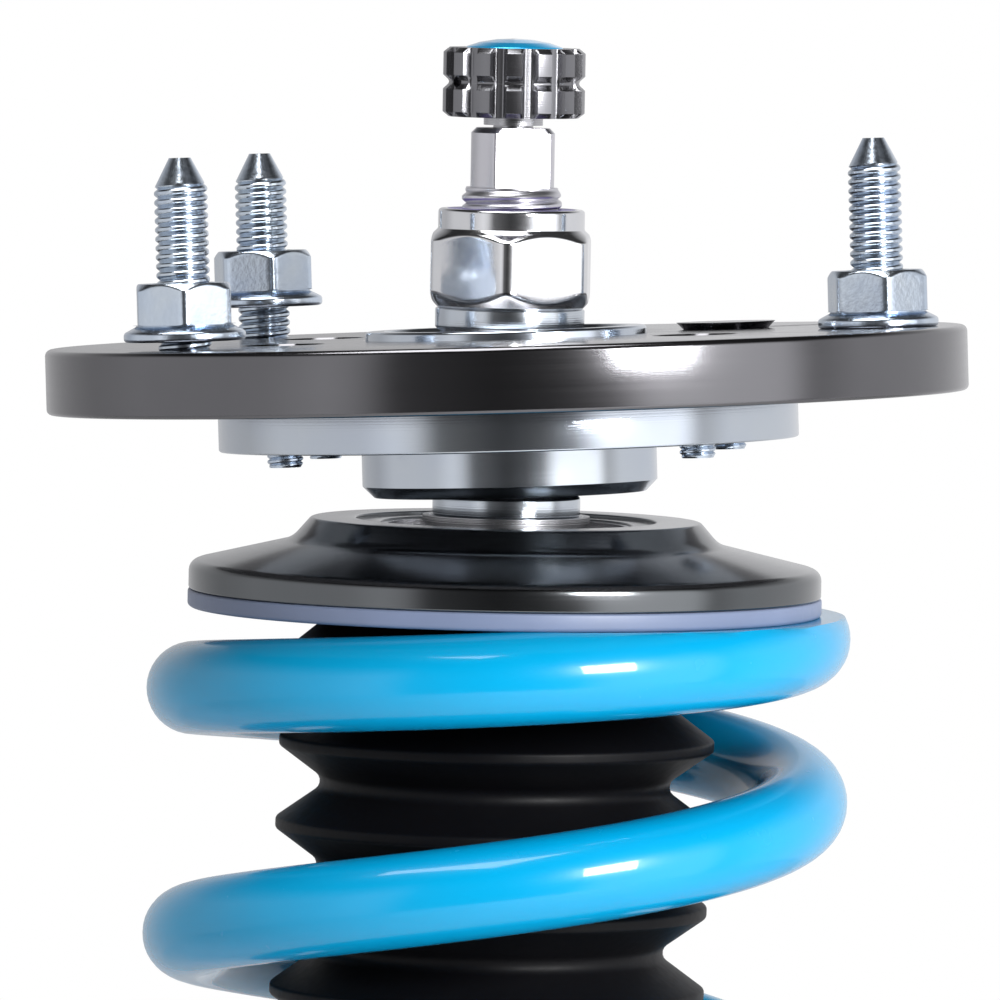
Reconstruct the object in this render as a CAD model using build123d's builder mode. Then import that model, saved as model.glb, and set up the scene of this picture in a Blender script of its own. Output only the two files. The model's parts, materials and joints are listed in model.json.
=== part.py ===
"""Coilover strut assembly: swivelling top mount, sprung damper body and knuckle bracket.

Millimetres. The origin is the centre of the ball in the top mount, and +Z runs up the piston rod.
The plate, its studs and the bearing housing lean a little about that ball; the rest stands upright.
"""

import os
from math import cos, radians, sin, sqrt

from build123d import *

os.makedirs("parts", exist_ok=True)

# ---- clearances ----
PRESS_GAP = 0.02  # faces that are pressed or screwed together
RUNNING_GAP = 0.05  # a shaft turning or sliding in its bore
FREE_GAP = 0.4  # pieces that pass without touching

# ---- top mount, in heights above the ball along the mount's own axis ----
MOUNT_LEAN = (-1.2, -2.65, -8.0)  # turns about X, Y and then Z
PLATE_D = 129.0
PLATE_THICK = 9.1
PLATE_BASE = 1.5  # the flange's seat on the underside of the plate
STUD_CIRCLE_R = 52.4
STUD_ANGLES = (0.0, 139.3, 220.7)
STUD_D = 8.0
STUD_HEIGHT = 26.4
STUD_SHANK_D = 7.2  # under the nut and in the plate, where the stud is gripped
STUD_TIP_LENGTH = 4.0
STUD_TIP_D = 3.0
NUT_LIFTS = (0.0, 4.5, 1.2)  # how far each flange nut stands off the plate
NUT_TURNS = (47.4, 51.3, 40.4)
STUD_NUT_AF = 12.8
STUD_NUT_HEIGHT = 8.0
STUD_NUT_RIM_D = 16.8
STUD_NUT_RIM = 1.5
SCREW_CIRCLE_R = 34.0
SCREW_SPREAD = 32.0
SCREW_D = 5.0
SCREW_HEAD_D = 12.0
SCREW_PROUD = 2.0
SCREW_SUNK = 0.3  # the heads lie this far below the plate's face
SCREW_SOCKET_R = 2.0
SCREW_SOCKET_DEPTH = 2.5
PLATE_EDGE = 0.8  # chamfer on the plate's rims
HOUSING_FLANGE_D = 81.2
HOUSING_FLANGE_BASE = -4.4
HOUSING_BOSS_D = 39.4
HOUSING_BOSS_PROUD = 1.2
HOUSING_NOSE_D = 41.3
HOUSING_NOSE_BASE = -11.4
HOUSING_MOUTH_D = 28.0
NOSE_CHAMFER = 1.6
BOSS_CHAMFER = 0.6
BORE_LEAD = 1.0  # chamfer that leads the race into its bore, and the ring groove's depth
RACE_D = 32.0
RACE_WIDTH = 12.0
BALL_D = 24.0
BALL_WIDTH = 15.0
RACE_CHAMFER = 0.6
RING_THICK = 1.2
RING_WALL = 2.2
RING_EYE_R = 1.9
RING_EYE_BORE_R = 0.8
RING_EYE_TURNS = 48.0  # the two eyes stand this many degrees apart
RING_GAP_WIDTH = 5.0

# ---- rod and what is clamped on it ----
ROD_D = 20.0
SPIGOT_D = 14.0
ROD_SHOULDER = -26.5
COLLAR_D = 20.9
NECK_D = 16.0
NECK_LENGTH = 2.0
SPACER_TRIM = 0.2  # the lower spacer is this much slimmer than the collar above
COLLAR_TOP = 14.6
SPACER_BASE = -14.4
ROD_NUT_AF = 22.0
ROD_NUT_HEX = 10.9
ROD_NUT_HEIGHT = 13.9
ROD_NUT_COLLAR_D = 20.5
NUT_CHAMFER_D = 21.2
NUT_CORNER_ROOM = 0.2  # the chamfer cone starts this far outside the hexagon's corners
NUT_COLLAR_ROUND = 1.2
ROD_NUT_TURN = -92.7
INSERT_D = 18.0
INSERT_HEIGHT = 2.4
ROD_THREAD_TOP = 31.5
ROD_END_D = 11.7
ROD_END_FLATS = 8.3
ROD_END_TOP = 39.8
ROD_END_TURN = 20.0
ROD_BORE_D = 6.0
ROD_LENGTH_BELOW = 145.0  # shoulder to the step that carries the piston
ROD_TAIL_D = 12.0
ROD_TAIL_PROUD = 4.0  # how far the rod shows below the piston nut
ROD_CHAMFER = 0.8
THREAD_CHAMFER = 1.0

# ---- damping adjuster ----
STEM_D = 5.6
STEM_HUB_D = 8.3
KNOB_D = 20.0
KNOB_BASE = 41.3
KNOB_HEIGHT = 9.7
KNOB_GROOVES = 14
KNOB_GROOVE_D = 1.5
KNOB_CHAMFER = 1.1
KNOB_WAIST = 1.0  # depth and half height of the groove round the knob's middle
KNOB_TOP_WALL = 2.5
CAP_D = 13.6
CAP_SEAT_DEPTH = 1.5
CAP_PROUD = 1.3
GRUB_D = 2.5
GRUB_TURN = 209.0
GRUB_SUNK = 2.2
GRUB_SOCKET_R = 0.65
GRUB_SOCKET_DEPTH = 1.4
METERING_D = 4.0
METERING_BORE_R = 0.5
METERING_TRAVEL = 2.0
STEM_REACH = 12.0

# ---- upper spring seat and its bearing ----
SEAT_TOP = -15.0
SEAT_D = 88.6
SEAT_BASE = -25.3
SEAT_CROWN_D = 54.6
SEAT_HUB_D = 46.0
SEAT_RIM_DROP = 7.6  # the rim's top edge below the crown
SEAT_EDGE_R = 1.2
SEAT_SKIRT_REACH = 7.2  # the skirt's outer edge, in from the rim and below the crown
SEAT_SKIRT_DROP = 4.8
SEAT_SHOULDER = 2.5  # the shoulder falls this far at 45 degrees
SEAT_DISH = 0.3
SEAT_HUB_BASE = -31.0
BEARING_D = 35.0
BEARING_TOP = -17.0
BEARING_INNER_D = 23.4
BEARING_OUTER_BORE = 28.2
BALL_COUNT = 18
SEAL_THICK = 0.8
SEAL_SUNK = 0.2
SEAT_LIP = 1.8  # the lip under the bearing's outer ring reaches in this far
SEAT_RELIEF = 3.5  # width of the shallow step in the crown round the bearing
SEAT_STEP = 0.5
SNAP_DEPTH = 0.9  # the snap ring's groove
SNAP_GAP_WIDTH = 5.0
BEARING_BALL_D = 3.8
PAD_THICK = 2.5
PAD_BORE = 60.0
PAD_OVERHANG = 0.1

# ---- spring ----
SPRING_OUTER_D = 98.5
WIRE_D = 13.0
SPRING_LENGTH = 195.0
SPRING_TURNS = 6.0
TIP_ANGLE = 142.0

# ---- boot and bump stop ----
BOOT_CREST_D = 61.0
BOOT_VALLEY_D = 46.8
BOOT_PITCH = 11.65
BOOT_FIRST_CREST = -34.65
BOOT_CRESTS = 11
BOOT_WALL = 1.4
BOOT_CUFF = 6.0  # length of the plain cuff at the foot
BUMP_D = 36.0
BUMP_LENGTH = 45.0
BUMP_WASHER_THICK = 3.0
BUMP_BULGES = (0.3, 0.35, 0.35)  # shares of the length
BUMP_WAIST = 1.5

# ---- damper body ----
TUBE_D = 43.0
TUBE_BORE = 38.0
TUBE_TOP = -146.0
TUBE_LENGTH = 294.0
TUBE_FLOOR = 6.0
VALVE_R = 3.0
VALVE_PROUD = 1.0
SLEEVE_D = 54.0
SLEEVE_TOP = -172.0
GLAND_D = 42.0
GLAND_HEIGHT = 9.0
GLAND_CHAMFER = 1.0
WIPER_WALL = 2.5
WIPER_HEIGHT = 5.0
GUIDE_LENGTH = 22.0
SEAL_POCKET = 8.0
SEAL_WALL = 4.0
SEAL_ROOM = 0.5  # free height above and below the rod seal
PISTON_LENGTH = 14.0
PISTON_NUT_AF = 17.0
PISTON_NUT_HEIGHT = 8.0
PISTON_GAP = 0.3
PORT_CIRCLE_R = 11.5
PORT_R = 1.8
PORT_COUNT = 6
BAND_WALL = 1.2
BAND_HEIGHT = 8.0
SHIM_RADII = (14.0, 12.5, 11.0, 9.5)
SHIM_THICK = 0.6
FLOAT_LENGTH = 16.0
FLOAT_TOP = -320.0
FLOAT_WALL = 5.0
FLOAT_GROOVE_DEPTH = 3.0
FLOAT_GROOVE_HEIGHT = 3.6

# ---- lower perch, rings and bracket ----
PERCH_D = 101.0
PERCH_THICK = 8.0
PERCH_RIM = 4.0  # height of the upright rim
PERCH_HUB_WALL = 2.0  # how far the hub stands out past the pads' bore radius
PERCH_HUB_HEIGHT = 6.0
LOWER_PAD_ROOM = 0.5
RING_D = 70.0
ADJUSTER_HEIGHT = 16.0
LOCK_RING_HEIGHT = 9.0
SPANNER_SLOTS = 8
SLOT_WIDTH = 7.0
SLOT_DEPTH = 3.0
BRACKET_TOP = -352.0
BRACKET_LENGTH = 88.0
BRACKET_SLEEVE_D = 64.0
EAR_THICK = 6.0
EAR_GAP = 30.0
EAR_REACH = 66.0
EAR_CORNER_R = 8.0
BOLT_EDGE = 16.0  # bolt holes stand this far in from the ears' outer edge
BOLT_D = 14.2
BOLT_SPACING = 58.0
TAB_HOLE_D = 10.2
TAB_DROP = 16.0
TAB_LENGTH = 40.0
TAB_WIDTH = 24.0
TAB_MID = 6.0  # the tab's middle and its hole, outward from the sleeve
TAB_HOLE_OUT = 14.0


def ring(plane, outer_r, inner_r, base, top):
    """A plain turned ring about a plane's normal, between two heights."""
    with BuildPart() as turned:
        with BuildSketch(plane.offset(base)):
            Circle(outer_r)
            Circle(inner_r, mode=Mode.SUBTRACT)
        extrude(amount=top - base)
    return turned


def upright(plane):
    """The lengthwise section plane of a turned piece: x is the radius, y is the height."""
    return Plane(origin=plane.origin, x_dir=plane.x_dir, z_dir=-plane.y_dir)


def save(piece, name):
    """Label a finished piece and write it to its own file."""
    piece.part.label = name
    export_step(piece.part, f"parts/{name}.step")


mount = Plane.XY.rotated(MOUNT_LEAN)
mount_section = upright(mount)
mount_axis = Axis(mount.origin, mount.z_dir)
plate_top = PLATE_BASE + PLATE_THICK
housing_top = plate_top + HOUSING_BOSS_PROUD
stud_points = [
    (STUD_CIRCLE_R * cos(radians(a)), STUD_CIRCLE_R * sin(radians(a))) for a in STUD_ANGLES
]
screw_points = [
    (SCREW_CIRCLE_R * cos(radians(a)), SCREW_CIRCLE_R * sin(radians(a)))
    for a in (-SCREW_SPREAD, SCREW_SPREAD, 180 - SCREW_SPREAD, 180 + SCREW_SPREAD)
]

# ---- top plate: a thick turned disc with stud holes and countersunk screw holes ----
with BuildPart() as top_plate:
    with BuildSketch(mount.offset(PLATE_BASE)):
        Circle(PLATE_D / 2)
        Circle(HOUSING_BOSS_D / 2 + PRESS_GAP, mode=Mode.SUBTRACT)
        with Locations(*stud_points):
            Circle(STUD_SHANK_D / 2 + PRESS_GAP, mode=Mode.SUBTRACT)
        with Locations(*screw_points):
            Circle(SCREW_D / 2 + PRESS_GAP, mode=Mode.SUBTRACT)
    extrude(amount=PLATE_THICK)
    outer_rims = top_plate.edges().filter_by(GeomType.CIRCLE).sort_by(SortBy.RADIUS)[-2:]
    chamfer(outer_rims, PLATE_EDGE)
    sink_depth = (SCREW_HEAD_D - SCREW_D) / 2
    for x, y in screw_points:
        with BuildSketch(mount.offset(plate_top)):
            with Locations((x, y)):
                Circle(SCREW_HEAD_D / 2 + PRESS_GAP)
        extrude(amount=-sink_depth, taper=45, mode=Mode.SUBTRACT)
save(top_plate, "top_plate")

# ---- mounting studs: a slim shank in plate and nut, the full thread above the nut ----
cone_base = plate_top + STUD_HEIGHT - STUD_TIP_LENGTH
with BuildPart() as mount_studs:
    for point, lift in zip(stud_points, NUT_LIFTS):
        grip_top = plate_top + PRESS_GAP + lift + STUD_NUT_HEIGHT
        with BuildSketch(mount.offset(PLATE_BASE)):
            with Locations(point):
                Circle(STUD_SHANK_D / 2)
        extrude(amount=grip_top - PLATE_BASE)
        with BuildSketch(mount.offset(grip_top)):
            with Locations(point):
                Circle(STUD_D / 2)
        extrude(amount=cone_base - grip_top)
        with BuildSketch(mount.offset(cone_base)):
            with Locations(point):
                Circle(STUD_D / 2)
        with BuildSketch(mount.offset(cone_base + STUD_TIP_LENGTH)):
            with Locations(point):
                Circle(STUD_TIP_D / 2)
        loft()
save(mount_studs, "mount_studs")

# ---- flange nuts, each run down its stud to its own height ----
with BuildPart() as stud_nuts:
    for point, lift, turn in zip(stud_points, NUT_LIFTS, NUT_TURNS):
        nut_base = plate_top + PRESS_GAP + lift
        with BuildSketch(mount.offset(nut_base)):
            with Locations(point):
                Circle(STUD_NUT_RIM_D / 2)
        extrude(amount=STUD_NUT_RIM)
        with BuildSketch(mount.offset(nut_base + STUD_NUT_RIM)):
            with Locations(point):
                RegularPolygon(STUD_NUT_AF / 2, 6, major_radius=False, rotation=turn)
        extrude(amount=STUD_NUT_HEIGHT - STUD_NUT_RIM)
        with BuildSketch(mount.offset(nut_base)):
            with Locations(point):
                Circle(STUD_SHANK_D / 2 + PRESS_GAP)
        extrude(amount=STUD_NUT_HEIGHT, mode=Mode.SUBTRACT)
save(stud_nuts, "stud_nuts")

# ---- bearing housing: flange under the plate, boss through it, nose below ----
housing_bore_r = RACE_D / 2
groove_base = RACE_WIDTH / 2
with BuildPart() as bearing_housing:
    with BuildSketch(mount_section):
        with BuildLine():
            Polyline(
                (HOUSING_MOUTH_D / 2, HOUSING_NOSE_BASE),
                (HOUSING_NOSE_D / 2 - NOSE_CHAMFER, HOUSING_NOSE_BASE),
                (HOUSING_NOSE_D / 2, HOUSING_NOSE_BASE + NOSE_CHAMFER),
                (HOUSING_NOSE_D / 2, HOUSING_FLANGE_BASE),
                (HOUSING_FLANGE_D / 2, HOUSING_FLANGE_BASE),
                (HOUSING_FLANGE_D / 2, PLATE_BASE - PRESS_GAP),
                (HOUSING_BOSS_D / 2, PLATE_BASE - PRESS_GAP),
                (HOUSING_BOSS_D / 2, housing_top - BOSS_CHAMFER),
                (HOUSING_BOSS_D / 2 - BOSS_CHAMFER, housing_top),
                (housing_bore_r + BORE_LEAD, housing_top),
                (housing_bore_r, housing_top - BORE_LEAD),
                (housing_bore_r, groove_base + RING_THICK + PRESS_GAP),
                (housing_bore_r + BORE_LEAD, groove_base + RING_THICK + PRESS_GAP),
                (housing_bore_r + BORE_LEAD, groove_base),
                (housing_bore_r, groove_base),
                (housing_bore_r, -groove_base),
                (HOUSING_MOUTH_D / 2, -groove_base),
                close=True,
            )
        make_face()
    revolve(axis=mount_axis)
    with BuildSketch(mount.offset(HOUSING_FLANGE_BASE)):
        with Locations(*screw_points):
            Circle(SCREW_D / 2 + PRESS_GAP)
    extrude(amount=PLATE_BASE - HOUSING_FLANGE_BASE, mode=Mode.SUBTRACT)
save(bearing_housing, "bearing_housing")

# ---- countersunk screws that hold the housing to the plate ----
screw_top = plate_top - SCREW_SUNK
screw_head_r = SCREW_HEAD_D / 2 - SCREW_SUNK
with BuildPart() as housing_screws:
    for point in screw_points:
        with BuildSketch(mount.offset(HOUSING_FLANGE_BASE - SCREW_PROUD)):
            with Locations(point):
                Circle(SCREW_D / 2)
        extrude(amount=screw_top - HOUSING_FLANGE_BASE + SCREW_PROUD)
        with BuildSketch(mount.offset(screw_top)):
            with Locations(point):
                Circle(screw_head_r)
        extrude(amount=-(screw_head_r - SCREW_D / 2), taper=45)
        with BuildSketch(mount.offset(screw_top)):
            with Locations(point):
                RegularPolygon(SCREW_SOCKET_R, 6, major_radius=False)
        extrude(amount=-SCREW_SOCKET_DEPTH, mode=Mode.SUBTRACT)
save(housing_screws, "housing_screws")

# ---- split retaining ring above the race, with plier eyes ----
ring_outer_r = housing_bore_r + BORE_LEAD - PRESS_GAP
eye_circle_r = ring_outer_r - RING_WALL
first_eye = 90 - RING_EYE_TURNS / 4
with BuildPart() as retaining_ring:
    with BuildSketch(mount.offset(groove_base + PRESS_GAP / 2)):
        Circle(ring_outer_r)
        Circle(ring_outer_r - RING_WALL, mode=Mode.SUBTRACT)
        with PolarLocations(eye_circle_r, 2, start_angle=first_eye, angular_range=RING_EYE_TURNS):
            Circle(RING_EYE_R)
        with PolarLocations(eye_circle_r, 2, start_angle=first_eye, angular_range=RING_EYE_TURNS):
            Circle(RING_EYE_BORE_R, mode=Mode.SUBTRACT)
        with Locations(Location((0, housing_bore_r))):
            Rectangle(RING_GAP_WIDTH, RING_GAP_WIDTH, mode=Mode.SUBTRACT)
    extrude(amount=RING_THICK)
save(retaining_ring, "retaining_ring")

# ---- race of the ball joint ----
race_half = RACE_WIDTH / 2 - RUNNING_GAP
with BuildPart() as ball_race:
    with BuildSketch(mount.offset(-race_half)):
        Circle(RACE_D / 2 - RUNNING_GAP)
    extrude(amount=2 * race_half)
    chamfer(ball_race.edges().filter_by(GeomType.CIRCLE), RACE_CHAMFER)
    Sphere(BALL_D / 2 + RUNNING_GAP, mode=Mode.SUBTRACT)
save(ball_race, "ball_race")

# ---- ball, clamped on the rod's spigot ----
spigot_bore_r = SPIGOT_D / 2 + PRESS_GAP
with BuildPart() as pivot_ball:
    Sphere(BALL_D / 2)
    with BuildSketch(Plane.XY.offset(BALL_WIDTH / 2)):
        Rectangle(BALL_D, BALL_D)
    extrude(amount=BALL_D, mode=Mode.SUBTRACT)
    with BuildSketch(Plane.XY.offset(-BALL_WIDTH / 2)):
        Rectangle(BALL_D, BALL_D)
    extrude(amount=-BALL_D, mode=Mode.SUBTRACT)
    with BuildSketch(Plane.XY.offset(-BALL_WIDTH / 2)):
        Circle(spigot_bore_r)
    extrude(amount=BALL_WIDTH, mode=Mode.SUBTRACT)
save(pivot_ball, "pivot_ball")


def waisted_collar(outer_r, ball_end, far_end):
    """A clamped spacer whose neck is slim by the ball and flares 45 degrees to full size."""
    way = 1 if far_end > ball_end else -1
    neck = ball_end + NECK_LENGTH * way
    flare = neck + (outer_r - NECK_D / 2) * way
    with BuildPart() as collar:
        with BuildSketch(Plane.XZ):
            with BuildLine():
                Polyline(
                    (spigot_bore_r, ball_end),
                    (NECK_D / 2, ball_end),
                    (NECK_D / 2, neck),
                    (outer_r, flare),
                    (outer_r, far_end),
                    (spigot_bore_r, far_end),
                    close=True,
                )
            make_face()
        revolve(axis=Axis.Z)
    return collar


upper_collar = waisted_collar(COLLAR_D / 2, BALL_WIDTH / 2, COLLAR_TOP)
save(upper_collar, "upper_collar")
lower_spacer = waisted_collar((COLLAR_D - SPACER_TRIM) / 2, -BALL_WIDTH / 2, SPACER_BASE)
save(lower_spacer, "lower_spacer")

# ---- piston rod: hollow, stepped at the shoulder, flats at its top end ----
rod_nut_top = COLLAR_TOP + ROD_NUT_HEIGHT
piston_step = ROD_SHOULDER - ROD_LENGTH_BELOW
rod_tail_r = ROD_TAIL_D / 2
shims_thick = SHIM_THICK * len(SHIM_RADII)
rod_tail = piston_step - PISTON_LENGTH - shims_thick - PISTON_NUT_HEIGHT - ROD_TAIL_PROUD
with BuildPart() as piston_rod:
    with BuildSketch(Plane.XZ):
        with BuildLine():
            Polyline(
                (ROD_BORE_D / 2, rod_tail),
                (rod_tail_r - ROD_CHAMFER, rod_tail),
                (rod_tail_r, rod_tail + ROD_CHAMFER),
                (rod_tail_r, piston_step),
                (ROD_D / 2, piston_step),
                (ROD_D / 2, ROD_SHOULDER),
                (SPIGOT_D / 2, ROD_SHOULDER),
                (SPIGOT_D / 2, ROD_THREAD_TOP - THREAD_CHAMFER),
                (SPIGOT_D / 2 - THREAD_CHAMFER, ROD_THREAD_TOP),
                (ROD_END_D / 2, ROD_THREAD_TOP),
                (ROD_END_D / 2, ROD_END_TOP - ROD_CHAMFER),
                (ROD_END_D / 2 - ROD_CHAMFER, ROD_END_TOP),
                (ROD_BORE_D / 2, ROD_END_TOP),
                close=True,
            )
        make_face()
    revolve(axis=Axis.Z)
    with BuildSketch(Plane.XY.rotated((0, 0, ROD_END_TURN)).offset(ROD_THREAD_TOP)):
        Rectangle(ROD_END_D * 2, ROD_END_D * 2)
        Rectangle(ROD_END_D * 2, ROD_END_FLATS, mode=Mode.SUBTRACT)
    extrude(amount=ROD_END_TOP - ROD_THREAD_TOP, mode=Mode.SUBTRACT)
save(piston_rod, "piston_rod")

# ---- locking nut: hexagon with a round collar that holds the nylon insert ----
hex_top = COLLAR_TOP + ROD_NUT_HEX
insert_r = INSERT_D / 2
with BuildPart() as rod_nut:
    with BuildSketch(Plane.XY.offset(COLLAR_TOP)):
        RegularPolygon(ROD_NUT_AF / 2, 6, major_radius=False, rotation=ROD_NUT_TURN)
    extrude(amount=ROD_NUT_HEX)
    with BuildSketch(Plane.XZ):
        with BuildLine():
            corner_r = ROD_NUT_AF / sqrt(3) + NUT_CORNER_ROOM
            chamfer_r = NUT_CHAMFER_D / 2
            lip = (corner_r - chamfer_r) / 2
            Polyline(
                (0, COLLAR_TOP),
                (chamfer_r, COLLAR_TOP),
                (corner_r, COLLAR_TOP + lip),
                (corner_r, hex_top - lip),
                (chamfer_r, hex_top),
                (0, hex_top),
                close=True,
            )
        make_face()
    revolve(axis=Axis.Z, mode=Mode.INTERSECT)
    with BuildSketch(Plane.XY.offset(hex_top)):
        Circle(ROD_NUT_COLLAR_D / 2)
    extrude(amount=rod_nut_top - hex_top)
    fillet(rod_nut.edges().group_by(Axis.Z)[-1], NUT_COLLAR_ROUND)
    with BuildSketch(Plane.XY.offset(COLLAR_TOP)):
        Circle(spigot_bore_r)
    extrude(amount=ROD_NUT_HEIGHT, mode=Mode.SUBTRACT)
    with BuildSketch(Plane.XY.offset(rod_nut_top - INSERT_HEIGHT)):
        Circle(insert_r)
    extrude(amount=INSERT_HEIGHT, mode=Mode.SUBTRACT)
save(rod_nut, "rod_nut")

nylon_insert = ring(
    Plane.XY, insert_r - PRESS_GAP, spigot_bore_r, rod_nut_top - INSERT_HEIGHT, rod_nut_top - PRESS_GAP
)
save(nylon_insert, "nylon_insert")

# ---- adjuster: stem in the rod's bore, fluted knob, grub screw and domed cap ----
knob_top = KNOB_BASE + KNOB_HEIGHT
stem_top = knob_top - KNOB_TOP_WALL
stem_base = ROD_END_TOP - STEM_REACH
with BuildPart() as adjuster_stem:
    with BuildSketch(Plane.XY.offset(stem_base)):
        Circle(STEM_D / 2)
    extrude(amount=STEM_REACH + FREE_GAP)
    with BuildSketch(Plane.XY.offset(ROD_END_TOP + FREE_GAP)):
        Circle(STEM_HUB_D / 2)
    extrude(amount=stem_top - ROD_END_TOP - FREE_GAP)
save(adjuster_stem, "adjuster_stem")

cap_seat = knob_top - CAP_SEAT_DEPTH
grub_height = KNOB_BASE + KNOB_HEIGHT / 2
grub_plane = Plane(
    origin=(0, 0, grub_height),
    z_dir=(cos(radians(GRUB_TURN)), sin(radians(GRUB_TURN)), 0),
)
with BuildPart() as adjuster_knob:
    with BuildSketch(Plane.XZ):
        with BuildLine():
            knob_r = KNOB_D / 2
            Polyline(
                (0, KNOB_BASE),
                (knob_r - KNOB_CHAMFER, KNOB_BASE),
                (knob_r, KNOB_BASE + KNOB_CHAMFER),
                (knob_r, grub_height - KNOB_WAIST),
                (knob_r - KNOB_WAIST, grub_height),
                (knob_r, grub_height + KNOB_WAIST),
                (knob_r, knob_top - KNOB_CHAMFER),
                (knob_r - KNOB_CHAMFER, knob_top),
                (0, knob_top),
                close=True,
            )
        make_face()
    revolve(axis=Axis.Z)
    with BuildSketch(Plane.XY.offset(KNOB_BASE)):
        with PolarLocations(knob_r, KNOB_GROOVES):
            Circle(KNOB_GROOVE_D / 2)
    extrude(amount=KNOB_HEIGHT, mode=Mode.SUBTRACT)
    with BuildSketch(Plane.XY.offset(KNOB_BASE)):
        Circle(STEM_HUB_D / 2 + PRESS_GAP)
    extrude(amount=stem_top - KNOB_BASE, mode=Mode.SUBTRACT)
    with BuildSketch(Plane.XY.offset(cap_seat)):
        Circle(CAP_D / 2 + PRESS_GAP)
    extrude(amount=knob_top - cap_seat, mode=Mode.SUBTRACT)
    with BuildSketch(grub_plane):
        Circle(GRUB_D / 2 + PRESS_GAP)
    extrude(amount=KNOB_D, mode=Mode.SUBTRACT)
save(adjuster_knob, "adjuster_knob")

with BuildPart() as grub_screw:
    with BuildSketch(grub_plane.offset(STEM_HUB_D / 2 + PRESS_GAP)):
        Circle(GRUB_D / 2)
    extrude(amount=knob_r - STEM_HUB_D / 2 - GRUB_SUNK)
    with BuildSketch(grub_plane.offset(knob_r - GRUB_SUNK + PRESS_GAP)):
        RegularPolygon(GRUB_SOCKET_R, 6, major_radius=False)
    extrude(amount=-GRUB_SOCKET_DEPTH, mode=Mode.SUBTRACT)
save(grub_screw, "grub_screw")

cap_r = CAP_D / 2
dome_r = (cap_r**2 + CAP_PROUD**2) / (2 * CAP_PROUD)
with BuildPart() as knob_cap:
    with BuildSketch(Plane.XZ):
        with BuildLine():
            dome_top = (0, knob_top + CAP_PROUD)
            Line((cap_r, knob_top), (cap_r, cap_seat + PRESS_GAP))
            Line((cap_r, cap_seat + PRESS_GAP), (0, cap_seat + PRESS_GAP))
            Line((0, cap_seat + PRESS_GAP), dome_top)
            RadiusArc(dome_top, (cap_r, knob_top), dome_r)
        make_face()
    revolve(axis=Axis.Z)
save(knob_cap, "knob_cap")

metering_top = stem_base - METERING_TRAVEL
metering_rod = ring(Plane.XY, METERING_D / 2, METERING_BORE_R, rod_tail + METERING_TRAVEL, metering_top)
save(metering_rod, "metering_rod")

# ---- upper spring seat: a turned dish that hangs on a ball bearing ----
seat_bore_r = BEARING_D / 2 + PRESS_GAP
bearing_base = ROD_SHOULDER
seat_lip = bearing_base - PRESS_GAP
snap_base = BEARING_TOP + PRESS_GAP
snap_top = snap_base + RING_THICK
crown_r = SEAT_CROWN_D / 2
seat_r = SEAT_D / 2
hub_r = SEAT_HUB_D / 2
rim_top = (seat_r, SEAT_TOP - SEAT_RIM_DROP)
rim_shoulder = (seat_r - SEAT_EDGE_R, rim_top[1] + SEAT_EDGE_R)
skirt_edge = (seat_r - SEAT_SKIRT_REACH, SEAT_TOP - SEAT_SKIRT_DROP)
shoulder_foot = (crown_r + SEAT_SHOULDER, SEAT_TOP - SEAT_SHOULDER)
skirt_dip = (crown_r + 2 * SEAT_SHOULDER, (skirt_edge[1] + shoulder_foot[1]) / 2 - SEAT_DISH)
with BuildPart() as spring_seat:
    with BuildSketch(Plane.XZ):
        with BuildLine():
            Polyline(
                (seat_bore_r - SEAT_LIP, SEAT_HUB_BASE),
                (hub_r, SEAT_HUB_BASE),
                (hub_r, SEAT_BASE),
                (seat_r, SEAT_BASE),
                rim_top,
                rim_shoulder,
                skirt_edge,
            )
            ThreePointArc(skirt_edge, skirt_dip, shoulder_foot)
            Polyline(
                shoulder_foot,
                (crown_r, SEAT_TOP),
                (seat_bore_r + SEAT_RELIEF, SEAT_TOP),
                (seat_bore_r + SEAT_RELIEF, SEAT_TOP - SEAT_STEP),
                (seat_bore_r, SEAT_TOP - SEAT_STEP),
                (seat_bore_r, snap_top + PRESS_GAP),
                (seat_bore_r + SNAP_DEPTH, snap_top + PRESS_GAP),
                (seat_bore_r + SNAP_DEPTH, snap_base - PRESS_GAP),
                (seat_bore_r, snap_base - PRESS_GAP),
                (seat_bore_r, seat_lip),
                (seat_bore_r - SEAT_LIP, seat_lip),
                (seat_bore_r - SEAT_LIP, SEAT_HUB_BASE),
            )
        make_face()
    revolve(axis=Axis.Z)
save(spring_seat, "spring_seat")

with BuildPart() as seat_snap_ring:
    with BuildSketch(Plane.XY.offset(snap_base)):
        Circle(seat_bore_r + SNAP_DEPTH - PRESS_GAP)
        Circle(seat_bore_r - SNAP_DEPTH, mode=Mode.SUBTRACT)
        with Locations(Location((0, -seat_bore_r))):
            Rectangle(SNAP_GAP_WIDTH, SNAP_GAP_WIDTH, mode=Mode.SUBTRACT)
    extrude(amount=RING_THICK)
save(seat_snap_ring, "seat_snap_ring")

# ---- seat bearing: two grooved rings, balls and two seals ----
ball_circle_r = (BEARING_INNER_D + BEARING_OUTER_BORE) / 4
ball_height = (BEARING_TOP + bearing_base) / 2
groove_r = BEARING_BALL_D / 2 + RUNNING_GAP


def grooved_ring(outer_r, inner_r, base, top):
    """A bearing ring whose ball track is cut by a turned circle."""
    with BuildPart() as grooved:
        with BuildSketch(Plane.XY.offset(base)):
            Circle(outer_r)
            Circle(inner_r, mode=Mode.SUBTRACT)
        extrude(amount=top - base)
        with BuildSketch(Plane.XZ):
            with Locations((ball_circle_r, ball_height)):
                Circle(groove_r)
        revolve(axis=Axis.Z, mode=Mode.SUBTRACT)
    return grooved


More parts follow.
